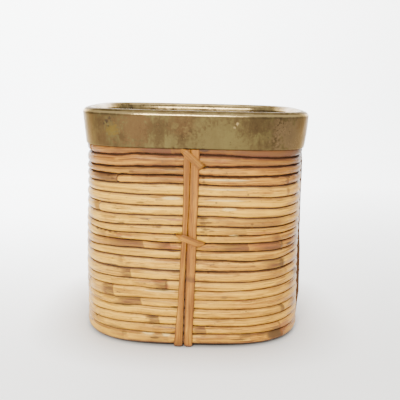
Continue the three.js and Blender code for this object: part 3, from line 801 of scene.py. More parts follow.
def buildRodTree(material):
    tree = bpy.data.node_groups.new("rattan rod", "GeometryNodeTree")
    face = tree.interface
    face.new_socket(name="Geometry", in_out="OUTPUT", socket_type="NodeSocketGeometry")
    scalars = ["Half Width", "Squareness", "Low", "High", "Shift", "Joint", "Joint Reach", "Tone"]
    scalars += [f"{label} {edge}" for label in ("Seed", "Open", "DirtShade", "Slot") for edge in ("Low", "High")]
    scalars += ["Slot Low Rise", "Slot High Rise"]
    vectors = [f"{edge} Wave {k}" for edge in ("Low", "High") for k in (1, 2, 3)]
    vectors += [f"Ring {k + 1}" for k in range(ringSlots)]
    for label in scalars:
        face.new_socket(name=label, in_out="INPUT", socket_type="NodeSocketFloat")
    for label in vectors:
        face.new_socket(name=label, in_out="INPUT", socket_type="NodeSocketVector")
    group = tree.nodes.new("NodeGroupInput")
    take = {label: Wire(tree, group.outputs[label]) for label in scalars + vectors}

    grid = tree.nodes.new("GeometryNodeMeshGrid")
    grid.inputs["Size X"].default_value = 1
    grid.inputs["Size Y"].default_value = 1
    grid.inputs["Vertices X"].default_value = rodShape["stepsAlong"] + 1
    grid.inputs["Vertices Y"].default_value = rodShape["stepsAround"] + 1
    position = tree.nodes.new("GeometryNodeInputPosition")
    gridX, gridY, _ = separate(tree, Wire(tree, position.outputs[0]))
    along = gridX + 0.5
    around = (gridY + 0.5) * (2 * math.pi) + math.pi

    # the plan outline, as a rounded square that the hoop goes round a little more than once
    halfWidth, squareness = take["Half Width"], take["Squareness"]
    overlap = rodShape["overlap"] / take["Joint Reach"]
    turn = overlap + 2 * math.pi
    angle = take["Joint"] + along * turn
    cosine, sine = maths(tree, "COSINE", angle), maths(tree, "SINE", angle)
    cosSize, sinSize = maths(tree, "ABSOLUTE", cosine), maths(tree, "ABSOLUTE", sine)
    radius = (cosSize ** squareness + sinSize ** squareness) ** (-1 / squareness) * halfWidth
    slopeX = cosSize ** (squareness - 1) * maths(tree, "SIGN", cosine)
    slopeY = sinSize ** (squareness - 1) * maths(tree, "SIGN", sine)
    slope = hypotenuse(tree, slopeX, slopeY)
    normalX, normalY = slopeX / slope, slopeY / slope

    # joints between rods wander by measure on the front and by noise elsewhere, and the two
    # rods at a joint share its line
    circle = combine(tree, cosine, sine, 0.0)
    onFront = mapRange(tree, sine * -1.0, 0.1, 0.45, smooth=True)
    place = cosine * radius / waveStep + 4
    waves = {}
    for edge in ("Low", "High"):
        heights = [part for k in (1, 2, 3) for part in separate(tree, take[f"{edge} Wave {k}"])]
        total = None
        for k, height in enumerate(heights):
            near = mapRange(tree, maths(tree, "ABSOLUTE", place - k), 1.0, 0.0, smooth=True) * height
            total = near if total is None else total + near
        seed = take["Seed Low"] if edge == "Low" else take["Seed High"]
        loose = (noiseField(tree, circle, rodNoise["wave"], seed, 2, 0.5) - 0.5) * rodShape["wave"]
        waves[edge] = total * onFront + loose * (1 - onFront * 0.75)
    # thin stretches open the joint on the outside, and the rods still touch behind it
    ownSeed = take["Seed Low"] * 3.7 + 11.3
    cosAround, sinAround = maths(tree, "COSINE", around), maths(tree, "SINE", around)
    outside = mapRange(tree, cosAround, 0.02, 0.3) * rodShape["shrink"]
    shrinkLow, shrinkHigh = (
        mapRange(tree, noiseField(tree, circle, rodNoise["shrink"], seed, 5, 0.7), 0.4, 0.72)
        for seed in (ownSeed, ownSeed + 5.1)
    )
    low = take["Low"] + waves["Low"] + (shrinkLow + 0.2) * outside * take["Open Low"]
    high = take["High"] + waves["High"] - (shrinkHigh + 0.2) * outside * take["Open High"]

    # the rods part where a lashing passes between them, on all four sides
    quarter = math.pi / 2
    sideAngle = maths(tree, "FLOORED_MODULO", angle - quarter * 2.5, quarter) + quarter * 2.5
    across = radius * maths(tree, "COSINE", sideAngle)
    for edge, sign in (("Low", 1), ("High", -1)):
        away = maths(tree, "ABSOLUTE", across - take[f"Slot {edge}"])
        part = mapRange(tree, away, rodShape["slotHalfLength"], rodShape["slotHalfLength"] * 0.5, smooth=True)
        rise = part * take[f"Slot {edge} Rise"] * sign
        low = low + rise if edge == "Low" else low
        high = high + rise if edge == "High" else high

    # section
    power = rodShape["sectionPower"]
    outward = maths(tree, "ABSOLUTE", cosAround) ** power * maths(tree, "SIGN", cosAround)
    upward = maths(tree, "ABSOLUTE", sinAround) ** power * maths(tree, "SIGN", sinAround)

    # the first end is rounded and lies on top, the last end dives under it
    fromStart = along * turn * take["Joint Reach"]
    fromFinish = (1 - along) * turn * take["Joint Reach"]
    toStart = maths(tree, "MINIMUM", fromStart / rodShape["endLength"], 1.0)
    toFinish = maths(tree, "MINIMUM", fromFinish / rodShape["finishLength"], 1.0)
    roundStart = maths(tree, "SQRT", maths(tree, "MAXIMUM", 1 - (1 - toStart) * (1 - toStart), 0.0))
    taper = roundStart * maths(tree, "SQRT", toFinish)
    dive = mapRange(tree, fromFinish, rodShape["overlap"] * 2.2, rodShape["overlap"] * 0.8, smooth=True)
    lift = mapRange(tree, fromStart, *rodShape["liftReach"], smooth=True) * rodShape["endLift"]

    # node rings, each with a brown sheath mark on one side
    swell, scar, rim = None, None, None
    for k in range(ringSlots):
        ring = separate(tree, take[f"Ring {k + 1}"])
        ringCos, ringSin = maths(tree, "COSINE", ring[0]), maths(tree, "SINE", ring[0])
        reach = (maths(tree, "ABSOLUTE", ringCos) ** squareness
                 + maths(tree, "ABSOLUTE", ringSin) ** squareness) ** (-1 / squareness) * halfWidth
        awayX = cosine * radius - ringCos * reach
        awayY = sine * radius - ringSin * reach
        side = maths(tree, "SIGN", maths(tree, "SINE", angle - ring[0]))
        distance = hypotenuse(tree, awayX, awayY) * side
        slanted = distance + (upward + upward * upward * 0.6) * rodShape["ringSlant"]
        scaled = slanted / rodShape["ringWidth"]
        ridge = maths(tree, "EXPONENT", scaled * scaled * -1.0) * ring[2]
        behind = mapRange(tree, slanted, ring[1] * -1.0, ring[1] * -0.3)
        stop = mapRange(tree, slanted, rodShape["ringEdge"], -rodShape["ringEdge"])
        mark = behind * stop * ring[2]
        beyond = (slanted - rodShape["ringWidth"]) / (rodShape["ringWidth"] * 0.6)
        paler = maths(tree, "EXPONENT", beyond * beyond * -1.0) * ring[2]
        swell = ridge if swell is None else maths(tree, "MAXIMUM", swell, ridge)
        scar = mark if scar is None else maths(tree, "MAXIMUM", scar, mark)
        rim = paler if rim is None else maths(tree, "MAXIMUM", rim, paler)
    bulge = (swell + scar * 0.2) * rodShape["ringHeight"]

    halfDepth = wall["depth"] / 2
    weave = (noiseField(tree, circle, rodNoise["weave"], ownSeed + 9.2, 2, 0.5) - 0.5) * rodShape["weave"]
    skin = combine(tree, angle * 1.4, cosAround * 1.5, sinAround * 1.5)
    crease = (noiseField(tree, skin, rodNoise["crease"], ownSeed + 2.2, 3, 0.55) - 0.5) * rodShape["crease"]
    out = outward * (taper * halfDepth + bulge + crease * taper) - halfDepth + weave + lift
    out = out - dive * rodShape["dive"]
    middle = (low + high) / 2
    halfHeight = (high - low) / 2 * (1 + dive * 0.1)
    spot = combine(
        tree,
        cosine * radius + normalX * out + take["Shift"],
        sine * radius + normalY * out,
        middle + upward * halfHeight * taper,
    )

    geometry = grid.outputs["Mesh"]
    grain = combine(tree, angle * halfWidth + take["Seed Low"], cosAround * halfDepth, sinAround * halfDepth)
    # painted shade where the diving end runs under the other, and round the rounded end
    crevice = mapRange(tree, fromFinish, rodShape["overlap"] * 1.8, rodShape["overlap"])
    tip = mapRange(tree, fromStart, *rodShape["tipShade"])
    # how dark each joint is; under the lowest rod this is painted shade
    dirtShadeLevel = mapRange(tree, sinAround, -0.3, 0.3, take["DirtShade Low"], take["DirtShade High"])
    patches = noiseField(tree, circle, rodNoise["dirtAndShade"], ownSeed + 6.4, 3, 0.6) - 0.5
    joint = maths(tree, "ABSOLUTE", sinAround) + (dirtShadeLevel - 1 + patches * 0.7) * 0.25
    # painted shade on the rods behind the slit between two straps
    fromSlit = maths(tree, "ABSOLUTE", across - rodShape["shadedSlit"])
    groove = largest(tree, joint, mapRange(tree, fromSlit, *rodShape["shadedSlitReach"]), crevice, tip)
    warmth = noiseField(tree, circle, rodNoise["warmth"], ownSeed + 3.3, 3, 0.6)
    # random warmth, and painted shade that warms and darkens the right side and the left edge
    tone = take["Tone"] + (warmth - 0.5) * rodWarmth["spread"] + cosine * rodWarmth["right"]
    tone = tone + mapRange(tree, cosine, *rodWarmth["leftEdge"])
    geometry = storeField(tree, geometry, "grain", grain, "FLOAT_VECTOR")
    for name, field in (("tone", tone), ("scar", scar), ("rim", rim), ("groove", groove)):
        geometry = storeField(tree, geometry, name, field)
    setPosition = tree.nodes.new("GeometryNodeSetPosition")
    tree.links.new(geometry, setPosition.inputs["Geometry"])
    plug(tree, spot, setPosition.inputs["Position"])
    merge = tree.nodes.new("GeometryNodeMergeByDistance")
    merge.inputs["Distance"].default_value = rodShape["mergeDistance"]
    smooth = tree.nodes.new("GeometryNodeSetShadeSmooth")
    realize = tree.nodes.new("GeometryNodeRealizeInstances")
    finish = tree.nodes.new("GeometryNodeSetMaterial")
    finish.inputs["Material"].default_value = material
    output = tree.nodes.new("NodeGroupOutput")
    chain = [setPosition, merge, smooth, realize, finish]
    for first, second in zip(chain, chain[1:]):
        tree.links.new(first.outputs["Geometry"], second.inputs["Geometry"])
    tree.links.new(finish.outputs["Geometry"], output.inputs["Geometry"])
    return tree


# How far each joint gapes outside, and how dark its dirt is, from the top one down; under the lowest rod the
# darkness is painted shade
jointOpenings = [
    1.2, 1.1, 1.3, 0.8, 0.5, 0.5, 0.5, 0.6, 0.55, 0.5, 0.5,
    0.7, 0.8, 0.4, 0.3, 0.3, 0.3, 0.35, 0.35, 0.35, 0.4,
]
jointDirtAndShade = [
    1.1, 1.1, 1.15, 1.05, 1.0, 1.0, 1.0, 1.1, 1.05, 1.0, 1.0,
    1.1, 1.15, 0.95, 0.8, 0.75, 0.75, 0.85, 0.8, 0.85, 2.3,
]
# How far rods stand off to the right, in millimetres; the right wall draws in at mid-height
rodShifts = {
    8: -0.2, 9: -0.4, 10: -0.5, 11: -0.6, 12: -0.6, 13: -0.6, 14: -0.6, 15: -0.5, 16: -0.3,
    17: 0.1, 18: 0.3, 19: 0.5, 20: 0.6, 21: 0.6,
}


def ringsOf(rod):
    # the rings that the front shows, and a few more round the sides and back
    chosen = [
        (frontAngle(place * millimetre, rod), length * millimetre, strength)
        for number, place, length, strength in frontRings if number == rod["number"]
    ]
    dice = random.Random(rod["number"] * 17)
    while len(chosen) < ringSlots:
        turn = dice.uniform(-0.22, 1.22) * math.pi
        chosen.append((turn % (2 * math.pi), dice.uniform(5, 20) * millimetre, dice.uniform(0.35, 0.85)))
    return chosen


# Straps and lashings: where each lies along its side

strapShape = {
    "width": 7.6 * millimetre,
    "footThickness": 2.3 * millimetre,
    "footReach": 15 * millimetre,
    "bendRadius": 3.2 * millimetre,
    "topGap": 0.3 * millimetre,
    "stepsDown": 260,
    "stepsBend": 14,
    "stepsAcross": 26,
    # share of the height, then its left and right edges in shares of the width
    "left": [
        (1, -1.22, -0.46), (0.8, -1.2, -0.48), (0.6, -1.22, -0.62), (0.46, -1.38, -0.74),
        (0.25, -1.55, -0.84), (0.08, -1.84, -0.92), (0, -1.98, -0.94),
    ],
    "right": [
        (1, -0.44, 0.56), (0.8, -0.46, 0.54), (0.6, -0.6, 0.42), (0.46, -0.71, 0.41),
        (0.25, -0.74, 0.31), (0.08, -0.76, 0.22), (0, -0.76, 0.21),
    ],
    # share of the height, then the thickness in millimetres; those on the right side stand out more
    "thicknesses": [(1, 1.6), (0.8, 2), (0.6, 2.8), (0.46, 3.3), (0.25, 3.3), (0.08, 2.2), (0, 1.9)],
    "rightThicknesses": [
        (1, 3.2), (0.9, 4.8), (0.8, 4.6), (0.62, 4.1), (0.5, 4.0), (0.4, 4.9),
        (0.15, 4.9), (0.08, 3.4), (0, 1.9),
    ],
}
strapTop = collarLow.z - strapShape["topGap"]
sides = ["front", "right", "back", "left"]

ribShape = {
    "width": 10.67 * millimetre,
    "thickness": 2.34 * millimetre,
    "centreShare": -0.33,
    "stepsDown": 60,
    "stepsAcross": 14,
    "tone": 0.85,
    "ripple": 0.06,
    "sectionPowers": (0.8, 0.7),
}

lashShape = {
    "thickness": 1.1 * millimetre,
    "stepsPerStation": 9,
    "stepsAcross": 14,
    "ridges": 0.1 * millimetre,
    "tone": 0.9,
    "widthWander": 0.25 * millimetre,
    "fullWidth": 4 * millimetre,      # narrower cane is thinner too
    "marks": 0.25,
    "sectionPowers": (0.7, 0.6),
}
# The way of each lashing, from inside the wall out of its right slot, over the straps and in
# again on the left: millimetres right of the middle, height, out from the wall's face, width
lashRoutes = {
    "top": [
        (-12.6, 171.2, -7.5, 1.4), (-11.5, 171.2, -11.5, 2.4), (-7, 168.8, -12.2, 5), (4, 163, -12.2, 5),
        (7.6, 161.5, -11.6, 2.6), (8.7, 161.3, -8, 1.4), (8.7, 161.3, -3, 1.4), (8.1, 161.4, -0.3, 2),
        (6.4, 161.1, 1.3, 5), (4.6, 161.6, 2.6, 6), (-1.4, 167, 2.9, 5.9), (-7, 172, 2.6, 5.7),
        (-9.4, 173.6, 1.7, 4.6), (-10.8, 174.6, 0.8, 3), (-11.4, 176, 0.42, 1.8), (-11.6, 178.5, 0.38, 1),
    ],
    "middle": [
        (10.6, 94.4, -8, 1.4), (10.6, 94.4, -3, 1.4), (9.9, 94.5, -0.3, 1.8), (7.6, 94.4, 1.3, 4.4),
        (5.2, 94.7, 2.9, 5.8), (3, 95.4, 3.9, 6.2), (-3.2, 97.7, 4.15, 6), (-9.2, 99.9, 3.9, 6),
        (-11.2, 100.3, 2.6, 4.8), (-12.9, 100.8, 1, 2.8), (-14.1, 101.1, -0.3, 1.6), (-14.4, 101.1, -3, 1.4),
        (-14.4, 101.1, -8, 1.4), (-12.5, 101, -12, 3), (-8, 99, -12.2, 5), (4, 96, -12.2, 5),
        (8.5, 94.6, -12, 3),
    ],
}
lashLies = {"top": 0.84, "middle": 1.22}  # radians between the cane's flat side and the floor
# Rods whose undersides are slotted for a lashing, and millimetres right of the middle
lashSlots = [(2, 8.7), (9, -14.4), (10, 10.6)]


def readShares(table, share, column):
    for high, low in zip(table, table[1:]):
        if share >= low[0]:
            blend = min(max((share - low[0]) / (high[0] - low[0]), 0), 1)
            blend = blend * blend * (3 - 2 * blend) * 0.35 + blend * 0.65
            return low[column] + (high[column] - low[column]) * blend
    return table[-1][column]


def strapEdges(which, height):
    share = min(max(height / strapTop, 0), 1)
    table = strapShape[which]
    return [readShares(table, share, column) * strapShape["width"] for column in (1, 2)]


def slotsByRod():
    # rod number: the slots in its underside and in its top
    slots = {}
    for above, across in lashSlots:
        slots.setdefault(above, {})["Low"] = across * millimetre
        slots.setdefault(above + 1, {})["High"] = across * millimetre
    return slots


def makeRods():
    tree = buildRodTree(rattanSkin)
    slots = slotsByRod()
    for rod, joint, tone in zip(rodSizes, rodJoints, rodTones):
        number = rod["number"]
        angle = jointAngle(joint, rod)
        values = {
            "Half Width": rod["halfWidth"],
            "Squareness": rod["squareness"],
            "Low": rod["low"],
            "High": rod["high"],
            "Shift": rodShifts.get(number, 0.0) * millimetre,
            "Joint": angle,
            "Joint Reach": outlineReach(angle, rod),
            "Seed Low": number * 1.7,
            "Seed High": (number - 1) * 1.7,
            "Open Low": jointOpenings[number - 1],
            "Open High": jointOpenings[max(number - 2, 0)],
            "DirtShade Low": jointDirtAndShade[number - 1],
            "DirtShade High": jointDirtAndShade[max(number - 2, 0)],
            "Tone": tone,
        }
        for edge, line in (("Low", number), ("High", number - 1)):
            heights = frontWaves[line - 1] if line else (0.0,) * 9
            for k in (1, 2, 3):
                values[f"{edge} Wave {k}"] = [height * millimetre for height in heights[3 * k - 3:3 * k]]
        own = slots.get(number, {})
        for label in ("Low", "High"):
            values[f"Slot {label}"] = own.get(label, 0.0)
            values[f"Slot {label} Rise"] = rodShape["slotRise"] if label in own else 0.0
        for k, ring in enumerate(ringsOf(rod)):
            values[f"Ring {k + 1}"] = ring
        piece = evaluateTree(f"rod_{number:02d}", tree, values)
        settle(piece, "rattan_rod", rod["node"])
    print("rods made:", len(rodSizes))


makeRods()


# Meshes that follow a route

def sweepMesh(name, rings, closed, material, fields=None):
    # joins like rings of points; fields maps an attribute name to one value per point
    count = len(rings[0])
    verts = [point for ring in rings for point in ring]
    faces = []
    spans = len(rings) if closed else len(rings) - 1
    for k in range(spans):
        here, there = k * count, (k + 1) % len(rings) * count
        for corner in range(count):
            after = (corner + 1) % count
            faces.append((here + corner, here + after, there + after, there + corner))
    if not closed:
        faces.append(tuple(reversed(range(count))))
        last = (len(rings) - 1) * count
        faces.append(tuple(range(last, last + count)))
    mesh = bpy.data.meshes.new(name)
    mesh.from_pydata(verts, [], faces)
    for field, (kind, values) in (fields or {}).items():
        layer = mesh.attributes.new(field, kind, "POINT")
        layer.data.foreach_set("vector" if kind == "FLOAT_VECTOR" else "value", values)
    for face in mesh.polygons:
        face.use_smooth = len(face.vertices) == 4
    mesh.materials.append(material)
    if signedVolume(mesh) < 0:
        mesh.flip_normals()
    piece = bpy.data.objects.new(name, mesh)
    bpy.context.scene.collection.objects.link(piece)
    return piece


def signedVolume(mesh):
    total = 0
    for face in mesh.polygons:
        first = mesh.vertices[face.vertices[0]].co
        for k in range(1, len(face.vertices) - 1):
            second = mesh.vertices[face.vertices[k]].co
            third = mesh.vertices[face.vertices[k + 1]].co
            total += first.dot(second.cross(third))
    return total


def flatten(vectors):
    return [part for vector in vectors for part in vector]


def reedFields(grain, tone, scars, grooves):
    # what the split rattan's material reads; one tone and one groove stand for all points
    count = len(grain)
    return {
        "grain": ("FLOAT_VECTOR", flatten(grain)),
        "tone": ("FLOAT", [tone] * count),
        "scar": ("FLOAT", scars or [0.0] * count),
        "groove": ("FLOAT", grooves or [0.0] * count),
    }


def turnTo(turns):
    # from the front to another side, in quarter turns
    return Matrix.Rotation(turns * math.pi / 2, 3, "Z")


def wander(seed, *place):
    # smooth noise in -1 to 1
    spot = Vector((*place, 0, 0)[:3])
    return noise.noise(spot + Vector((seed * 7.31, seed * 3.17, seed * 5.53)))


# Straps

strapLook = {
    "tone": 0.95,
    "ringHeight": 0.35 * millimetre,
    "ringWidth": 1.1 * millimetre,
    "edgeWander": 0.25 * millimetre,
    "crownWander": 0.22 * millimetre,
    "crackDepth": 0.7 * millimetre,
    "crackWidth": 0.42 * millimetre,
    "crackEnds": (62 * millimetre, 128 * millimetre),
    "markLength": 7 * millimetre,
    "ringSlant": 1.2 * millimetre,
    "lineWidth": 0.5 * millimetre,
    "dirtReach": 13 * millimetre,
    "footShade": 8 * millimetre,
    "sectionPowers": (0.8, 0.62),     # across and up; 1 is round, less is squarer
    "footSteps": 8,
    "backPoints": 6,
}
# For each side, rings at heights in millimetres on its left and right strap
strapRings = {
    "front": {"left": [], "right": [61]},
    "right": {"left": [48], "right": [118]},
    "back": {"left": [92], "right": [30, 151]},
    "left": {"left": [70], "right": [126]},
}


def strapSpine(side):
    # the back face of a strap, from under the collar down the wall and in under the lowest rod
    spine = []
    table = strapShape["rightThicknesses" if side == "right" else "thicknesses"]
    bendTop = strapShape["footThickness"] + strapShape["bendRadius"]
    for step in range(strapShape["stepsDown"] + 1):
        height = strapTop + (bendTop - strapTop) * step / strapShape["stepsDown"]
        thickness = readShares(table, height / strapTop, 1) * millimetre
        spine.append((wallHalfWidth(height) + wall["gap"], height, 0, thickness))
    centre = spine[-1][0] - strapShape["bendRadius"]
    for step in range(1, strapShape["stepsBend"] + 1):
        share = step / strapShape["stepsBend"]
        lean = share * math.pi / 2
        spine.append((
            centre + strapShape["bendRadius"] * math.cos(lean),
            bendTop - strapShape["bendRadius"] * math.sin(lean),
            lean,
            thickness + (strapShape["footThickness"] - thickness) * share,
        ))
    tail = wallHalfWidth(0) - strapShape["footReach"]
    for step in range(1, strapLook["footSteps"] + 1):
        share = step / strapLook["footSteps"]
        out = centre + (tail - centre) * share
        spine.append((out, strapShape["footThickness"], math.pi / 2, strapShape["footThickness"]))
    return spine


def strapSection(count):
    # across from -0.5 to 0.5, and up from the flat back: a domed face over a flat back
    points = []
    acrossPower, risePower = strapLook["sectionPowers"]
    for k in range(count + 1):
        angle = math.pi * (1 - k / count)
        across = 0.5 * math.copysign(abs(math.cos(angle)) ** acrossPower, math.cos(angle))
        points.append((across, math.sin(angle) ** risePower))
    backs = strapLook["backPoints"]
    for k in range(1, backs):
        points.append((0.5 - k / backs, 0))
    return points


def makeStrap(side, which, turns):
    seed = turns * 2 + (which == "right") + 1
    section = strapSection(strapShape["stepsAcross"])
    rings, grain, scars, grooves = [], [], [], []
    travelled = 0
    before = None
    for out, height, lean, thickness in strapSpine(side):
        spot = Vector((0, -out, height))
        travelled += (spot - before).length if before else 0
        before = spot
        left, right = strapEdges(which, height)
        left += wander(seed, travelled * 60) * strapLook["edgeWander"]
        right += wander(seed + 0.5, travelled * 60) * strapLook["edgeWander"]
        onFoot = min(max(lean / (math.pi / 2), 0), 1)
        ring = []
        for across, rise in section:
            x = (left + right) / 2 + across * (right - left)
            ripple = wander(seed + 0.3, travelled * 35, across * 2.5) * strapLook["crownWander"]
            proud = rise * (thickness + ripple * (1 - onFoot))
            mark, line = 0, 0
            if which == "left":
                mark = 0.8 * max(0, 1 - height / strapLook["dirtReach"])
            for ringHeight in strapRings[side][which]:
                away = height - ringHeight * millimetre + across * strapLook["ringSlant"]
                proud += rise * strapLook["ringHeight"] * math.exp(-(away / strapLook["ringWidth"]) ** 2)
                line = max(line, math.exp(-(away / strapLook["lineWidth"]) ** 2))
                if 0 < away < strapLook["markLength"]:
                    mark = max(mark, 1 - away / strapLook["markLength"])
            crack = strapCrack(which, side, height, across * (right - left)) if rise > 0.3 else 0
            proud -= crack * strapLook["crackDepth"]
            floorward = max(height - proud * math.sin(lean), 0)
            ring.append((x, -(out + proud * math.cos(lean)), floorward))
            grain.append((travelled + seed, across * 8 * millimetre, rise * 4 * millimetre))
            scars.append(max(mark, 0.6 * onFoot))
            # painted shade: the strap darkens towards the floor
            foot = 1.1 - floorward / strapLook["footShade"]
            inner = across > 0 if which == "left" else across < 0
            flank = darkFlank(rise) * (0.5 if inner and height > strapTop / 2 else 1)
            # painted shade on the side of this strap that faces the front
            if side == "right" and which == "left" and across < -0.1:
                flank = min(max((rise - 0.1) / 0.12, 0), 1)
            grooves.append(max(flank, crack, foot, line * 0.9))
        rings.append([tuple(turnTo(turns) @ Vector(point)) for point in ring])
    tone = strapLook["tone"] + 0.06 * wander(seed, 0.5)
    fields = reedFields(grain, tone, scars, grooves)
    piece = sweepMesh(f"{side}_{which}_strap_reed", rings, False, strapSkin, fields)
    settle(piece, "rattan_strap", f"{side}_{which}_strap")


def darkFlank(rise):
    # the outer half of a strap's side is dark, partly the raw cut side's own colour and partly painted shade
    return min(max((rise - 0.3) / 0.15, 0), max((0.8 - rise) / 0.12, 0), 1)


def strapCrack(which, side, height, x):
    # the front right strap is split below its middle, with a sliver standing beside the split
    if which != "right" or side not in ("front", "back"):
        return 0
    lowEnd, highEnd = strapLook["crackEnds"]
    if not lowEnd < height < highEnd:
        return 0
    share = (height - lowEnd) / (highEnd - lowEnd)
    depth = min(share, 1 - share, 0.12) / 0.12
    centre = (-1.6 + 0.3 * share + 0.25 * math.sin(share * 11)) * millimetre
    return depth * math.exp(-((x - centre) / strapLook["crackWidth"]) ** 2)


# Lashings

def lashStations(which):
    route = [(x * millimetre, z * millimetre, out * millimetre, width * millimetre)
             for x, z, out, width in lashRoutes[which]]
    face = wallHalfWidth(max(z for x, z, out, width in route))
    return [(Vector((x, -(face + out), z)), width) for x, z, out, width in route]


def smoothRoute(stations, steps, closed):
    # a curve through stations, each a point with a width
    count = len(stations)
    spans = count if closed else count - 1

    def station(k):
        return stations[k % count] if closed else stations[min(max(k, 0), count - 1)]

    rows = []
    for k in range(spans):
        around = [station(k + shift) for shift in (-1, 0, 1, 2)]
        for step in range(steps):
            share = step / steps
            rows.append(tuple(catmull([row[part] for row in around], share) for part in range(2)))
    return rows if closed else rows + [stations[-1]]


def catmull(values, share):
    first, second, third, fourth = values
    slopeIn, slopeOut = (third - first) * 0.5, (fourth - second) * 0.5
    cube, square = share ** 3, share ** 2
    return (second * (2 * cube - 3 * square + 1) + slopeIn * (cube - 2 * square + share)
            + third * (3 * square - 2 * cube) + slopeOut * (cube - square))


def makeLashing(side, which, turns):
    # the middle one closes on itself, and the upper end of the top one is tucked into the collar
    closed = which == "middle"
    rows = smoothRoute(lashStations(which), lashShape["stepsPerStation"], closed)
    lie = lashLies[which]
    seed = turns * 3 + (which == "top") + 20
    acrossPower, risePower = lashShape["sectionPowers"]
    steps = lashShape["stepsAcross"]
    rings, grain, scars = [], [], []
    travelled = 0
    for k, (centre, width) in enumerate(rows):
        if closed:
            before, after = rows[k - 1][0], rows[(k + 1) % len(rows)][0]
        else:
            before, after = rows[max(k - 1, 0)][0], rows[min(k + 1, len(rows) - 1)][0]
        along = (after - before).normalized()
        travelled += (centre - rows[k - 1][0]).length if k else 0
        flat = Vector((math.cos(lie), 0, math.sin(lie)))
        flat = (flat - along * flat.dot(along)).normalized()
        proud = along.cross(flat)
        width += wander(seed, travelled * 90) * lashShape["widthWander"]
        ring = []
        for step in range(steps):
            angle = 2 * math.pi * step / steps
            across = math.copysign(abs(math.cos(angle)) ** acrossPower, math.cos(angle))
            rise = math.copysign(abs(math.sin(angle)) ** risePower, math.sin(angle))
            ridge = lashShape["ridges"] * (math.cos(across * 3 * math.pi) - 0.4)
            half = (lashShape["thickness"] + ridge) / 2
            half *= min(1, 0.35 + width / lashShape["fullWidth"])
            point = centre + flat * across * width / 2 + proud * rise * half
            ring.append(tuple(turnTo(turns) @ point))
            grain.append((travelled + seed, across * 4 * millimetre, rise * 2 * millimetre))
            scars.append(lashShape["marks"] * max(0, wander(seed + 0.7, travelled * 120, across)))
        rings.append(ring)
    fields = reedFields(grain, lashShape["tone"], scars, None)
    piece = sweepMesh(f"{side}_{which}_cane", rings, closed, strapSkin, fields)
    settle(piece, "cane_lashing", f"{side}_{which}_lashing")


# Inner ribs

def makeRib(side, turns):
    low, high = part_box("front_inner_rib")
    steps, bow = ribShape["stepsDown"], ribShape["stepsAcross"]
    centreX = ribShape["centreShare"] * strapShape["width"]
    acrossPower, risePower = ribShape["sectionPowers"]
    rings, grain = [], []
    for step in range(steps + 1):
        height = low.z + (high.z - low.z) * step / steps
        face = wallHalfWidth(height) - wall["depth"] - 2 * wall["gap"]
        ring = []
        for k in range(bow + 1):
            angle = math.pi * k / bow
            across = 0.5 * math.copysign(abs(math.cos(angle)) ** acrossPower, math.cos(angle))
            rise = math.sin(angle) ** risePower
            ripple = 1 + ribShape["ripple"] * wander(turns + 40, height * 60, across * 2)
            out = face - rise * ribShape["thickness"] * ripple
            spot = Vector((centreX + across * ribShape["width"], -out, height))
            ring.append(tuple(turnTo(turns) @ spot))
            grain.append((height + turns, across * 10 * millimetre, rise * 3 * millimetre))
        rings.append(ring)
    fields = reedFields(grain, ribShape["tone"], None, None)
    piece = sweepMesh(f"{side}_rib_reed", rings, False, strapSkin, fields)
    settle(piece, "inner_rib", f"{side}_inner_rib")


for turns, side in enumerate(sides):
    for which in ("left", "right"):
        makeStrap(side, which, turns)
    for which in ("top", "middle"):
        makeLashing(side, which, turns)
    makeRib(side, turns)
print("straps, lashings and ribs made")


# Brass collar

collarShape = {
    "stepsRound": 520,
    "sheet": 0.8 * millimetre,
    "looseness": 0.7 * millimetre,
    "innerLooseness": 0.6 * millimetre,
    "flare": 2.9 * millimetre,
    "flareCurve": 0.15,
    "bulge": 0.9 * millimetre,   # on the right
    "lipRise": 4.8 * millimetre,
    "lipPower": 0.9,             # 1 is round, less is flatter with a tighter edge
    "innerRise": 5.5 * millimetre,
    "innerDepth": 20 * millimetre,
    "skirtSteps": 22,
    "lipSteps": 22,
    "innerSteps": 10,
    "dent": 0.32 * millimetre,
    "innerDent": 0.7 * millimetre,
    "hemWander": 0.25 * millimetre,
    "hemReach": 4 * millimetre,
    "skirtReach": 10 * millimetre,
    "dullCorner": 0.15,          # the corners inside are rubbed less
}


def collarPath():
    # the outer side of the sheet: out from the wall, height, and how rubbed it is
    shape = collarShape
    shoulder = collarHigh.z - shape["lipRise"]
    standOff = shape["looseness"] + shape["sheet"]
    brim = standOff + shape["flare"]
    lipWidth = brim + wall["depth"] + shape["innerLooseness"] + shape["sheet"]
    path = []
    for step in range(shape["skirtSteps"]):
        share = step / shape["skirtSteps"]
        lean = shape["flare"] * (share + (share * share - share) * shape["flareCurve"])
        height = collarLow.z + (shoulder - collarLow.z) * share
        path.append((standOff + lean, height, 0.5 if step == 0 else 0.0))
    for step in range(shape["lipSteps"] + 1):
        angle = step / shape["lipSteps"] * math.pi
        outer = angle < math.pi / 2
        power = shape["lipPower"] if outer else 1
        drop = shape["lipRise"] if outer else shape["innerRise"]
        swing = math.copysign(abs(math.cos(angle)) ** power, math.cos(angle))
        out = brim - lipWidth / 2 * (1 - swing)
        rubbed = math.exp(-((angle - 0.4) / 0.35) ** 2)
        rubbed = max(rubbed, 0 if outer else 0.7)
        path.append((out, collarHigh.z - drop * (1 - abs(math.sin(angle)) ** power), rubbed))
    top, bottom = collarHigh.z - shape["innerRise"], collarHigh.z - shape["innerDepth"]
    for step in range(1, shape["innerSteps"] + 1):
        share = step / shape["innerSteps"]
        path.append((brim - lipWidth, top + (bottom - top) * share, 0.7 * (1 - share)))
    return path


